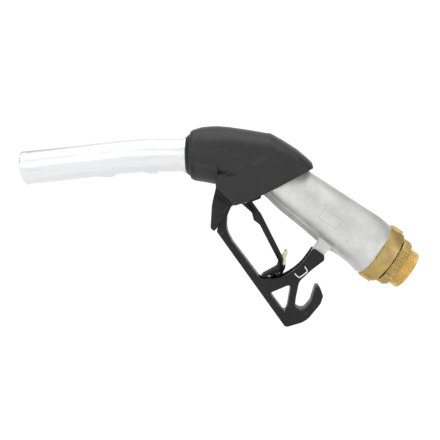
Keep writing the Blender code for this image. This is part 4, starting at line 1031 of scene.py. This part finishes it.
def tooth_cut(radius, turn, height):
    """Rounded serrations across the flange's rim."""
    if radius < FLANGE_RADIUS - 0.0012:
        return 0.0
    wave = 0.5 - 0.5 * math.cos(TEETH * turn)
    return -TOOTH_DEPTH * ramp(wave, 0.25, 0.85)


def reach_of(radius, turn, height):
    """The flange's four lugs, flat sided, with serrations running over them."""
    if radius < FLANGE_RADIUS - 0.0012:
        return 0.0
    off = abs(turn % math.radians(90.0) - math.radians(45.0))
    lug = 1 - ramp(off, math.radians(11.5), math.radians(14.0))
    return 0.0030 * lug + tooth_cut(radius, turn, height)


rim_low, rim_high = THREAD_END + 0.0002, FLANGE_END
flange_outline = [
    (INLET_BORE, rim_low), (FLANGE_RADIUS - 0.0016, rim_low),
    (FLANGE_RADIUS - 0.0005, rim_low + 0.0004), (FLANGE_RADIUS, rim_low + 0.0012)]
flange_outline += [(FLANGE_RADIUS, h) for h in np.linspace(rim_low + 0.0025, rim_high - 0.0025, 4)]
flange_outline += [(FLANGE_RADIUS, rim_high - 0.0012), (FLANGE_RADIUS - 0.0005, rim_high - 0.0004),
                   (FLANGE_RADIUS - 0.0016, rim_high), (NECK_RADIUS, rim_high), (NECK_RADIUS, NECK_END),
                   (INLET_BORE, NECK_END)]
flange = turned("nipple_flange", flange_outline, INLET_FRAME, TEETH * 10, reach_of)
piece_of("nipple_flange", flange, AGED_BRASS, "brass", "swivel", "swivel_nipple")

# ------------------------------------------------------------------ small parts
# Screws, pins, seals, springs and the valve's turned parts, each with the finish of its metal,
# rubber or plastic. Most sit inside the body and show only through the bores.
def seal_rubber():
    place = place_of()
    bloom = noise(place, 240.0, 4.0, 0.6)
    return {
        "Base Color": mix(bloom, (0.012, 0.012, 0.012), (0.028, 0.028, 0.029)),
        "Roughness": 0.48 + bloom * 0.18,
        "Normal": bump(bloom, 0.2, 0.00008),
    }


def white_acetal():
    place = place_of()
    flow = noise(place, 80.0, 4.0)
    return {
        "Base Color": mix(flow, (0.70, 0.69, 0.64), (0.80, 0.79, 0.75)),
        "Roughness": 0.34 + flow * 0.14,
        "Normal": bump(flow, 0.15, 0.00008),
    }


SEALS = finish("seal_rubber", seal_rubber)
ACETAL = finish("white_acetal", white_acetal)
FINISHES = {"spout_aluminium": SATIN, "cast_aluminium": CAST, "hood_rubber": RUBBER, "black_nylon": NYLON,
            "brass": BRASS, "steel": STEEL, "zinc_yellow": ZINC, "acetal": ACETAL, "seal_rubber": SEALS}
def blackened_steel():
    place = place_of()
    wear = noise(place, 300.0, 5.0, 0.7).step(0.52, 0.70)
    return {
        "Base Color": mix(wear, (0.020, 0.020, 0.021), (0.075, 0.073, 0.070)),
        "Roughness": 0.36 + wear * 0.16,
        "Normal": bump(wear, 0.2, 0.00006),
    }


BLACK_STEEL = finish("blackened_steel", blackened_steel, Metallic=0.6)
BLACKENED = {"guard_rivet_front", "guard_rivet_rear", "latch_pin", "guard_rear_pin", "guard_front_screw",
             "lever_pivot_pin", "roller_axle", "latch_spring"}
SHOWN = {"spout", "spout_collar", "nose_ring", "body", "hood", "lever_guard", "guard_fairing", "lever",
         "hold_latch", "ratchet_staple", "inlet_ring", "swivel_nipple"}
for part in frame["record"]["subparts"]:
    if part["node"] in SHOWN:
        continue
    node = frame["nodes"][part["node"]]
    node.data.materials.clear()
    made_of = BLACK_STEEL if part["node"] in BLACKENED else FINISHES[part["material_slot"]]
    node.data.materials.append(made_of)
    smooth(node.data, 35.0)
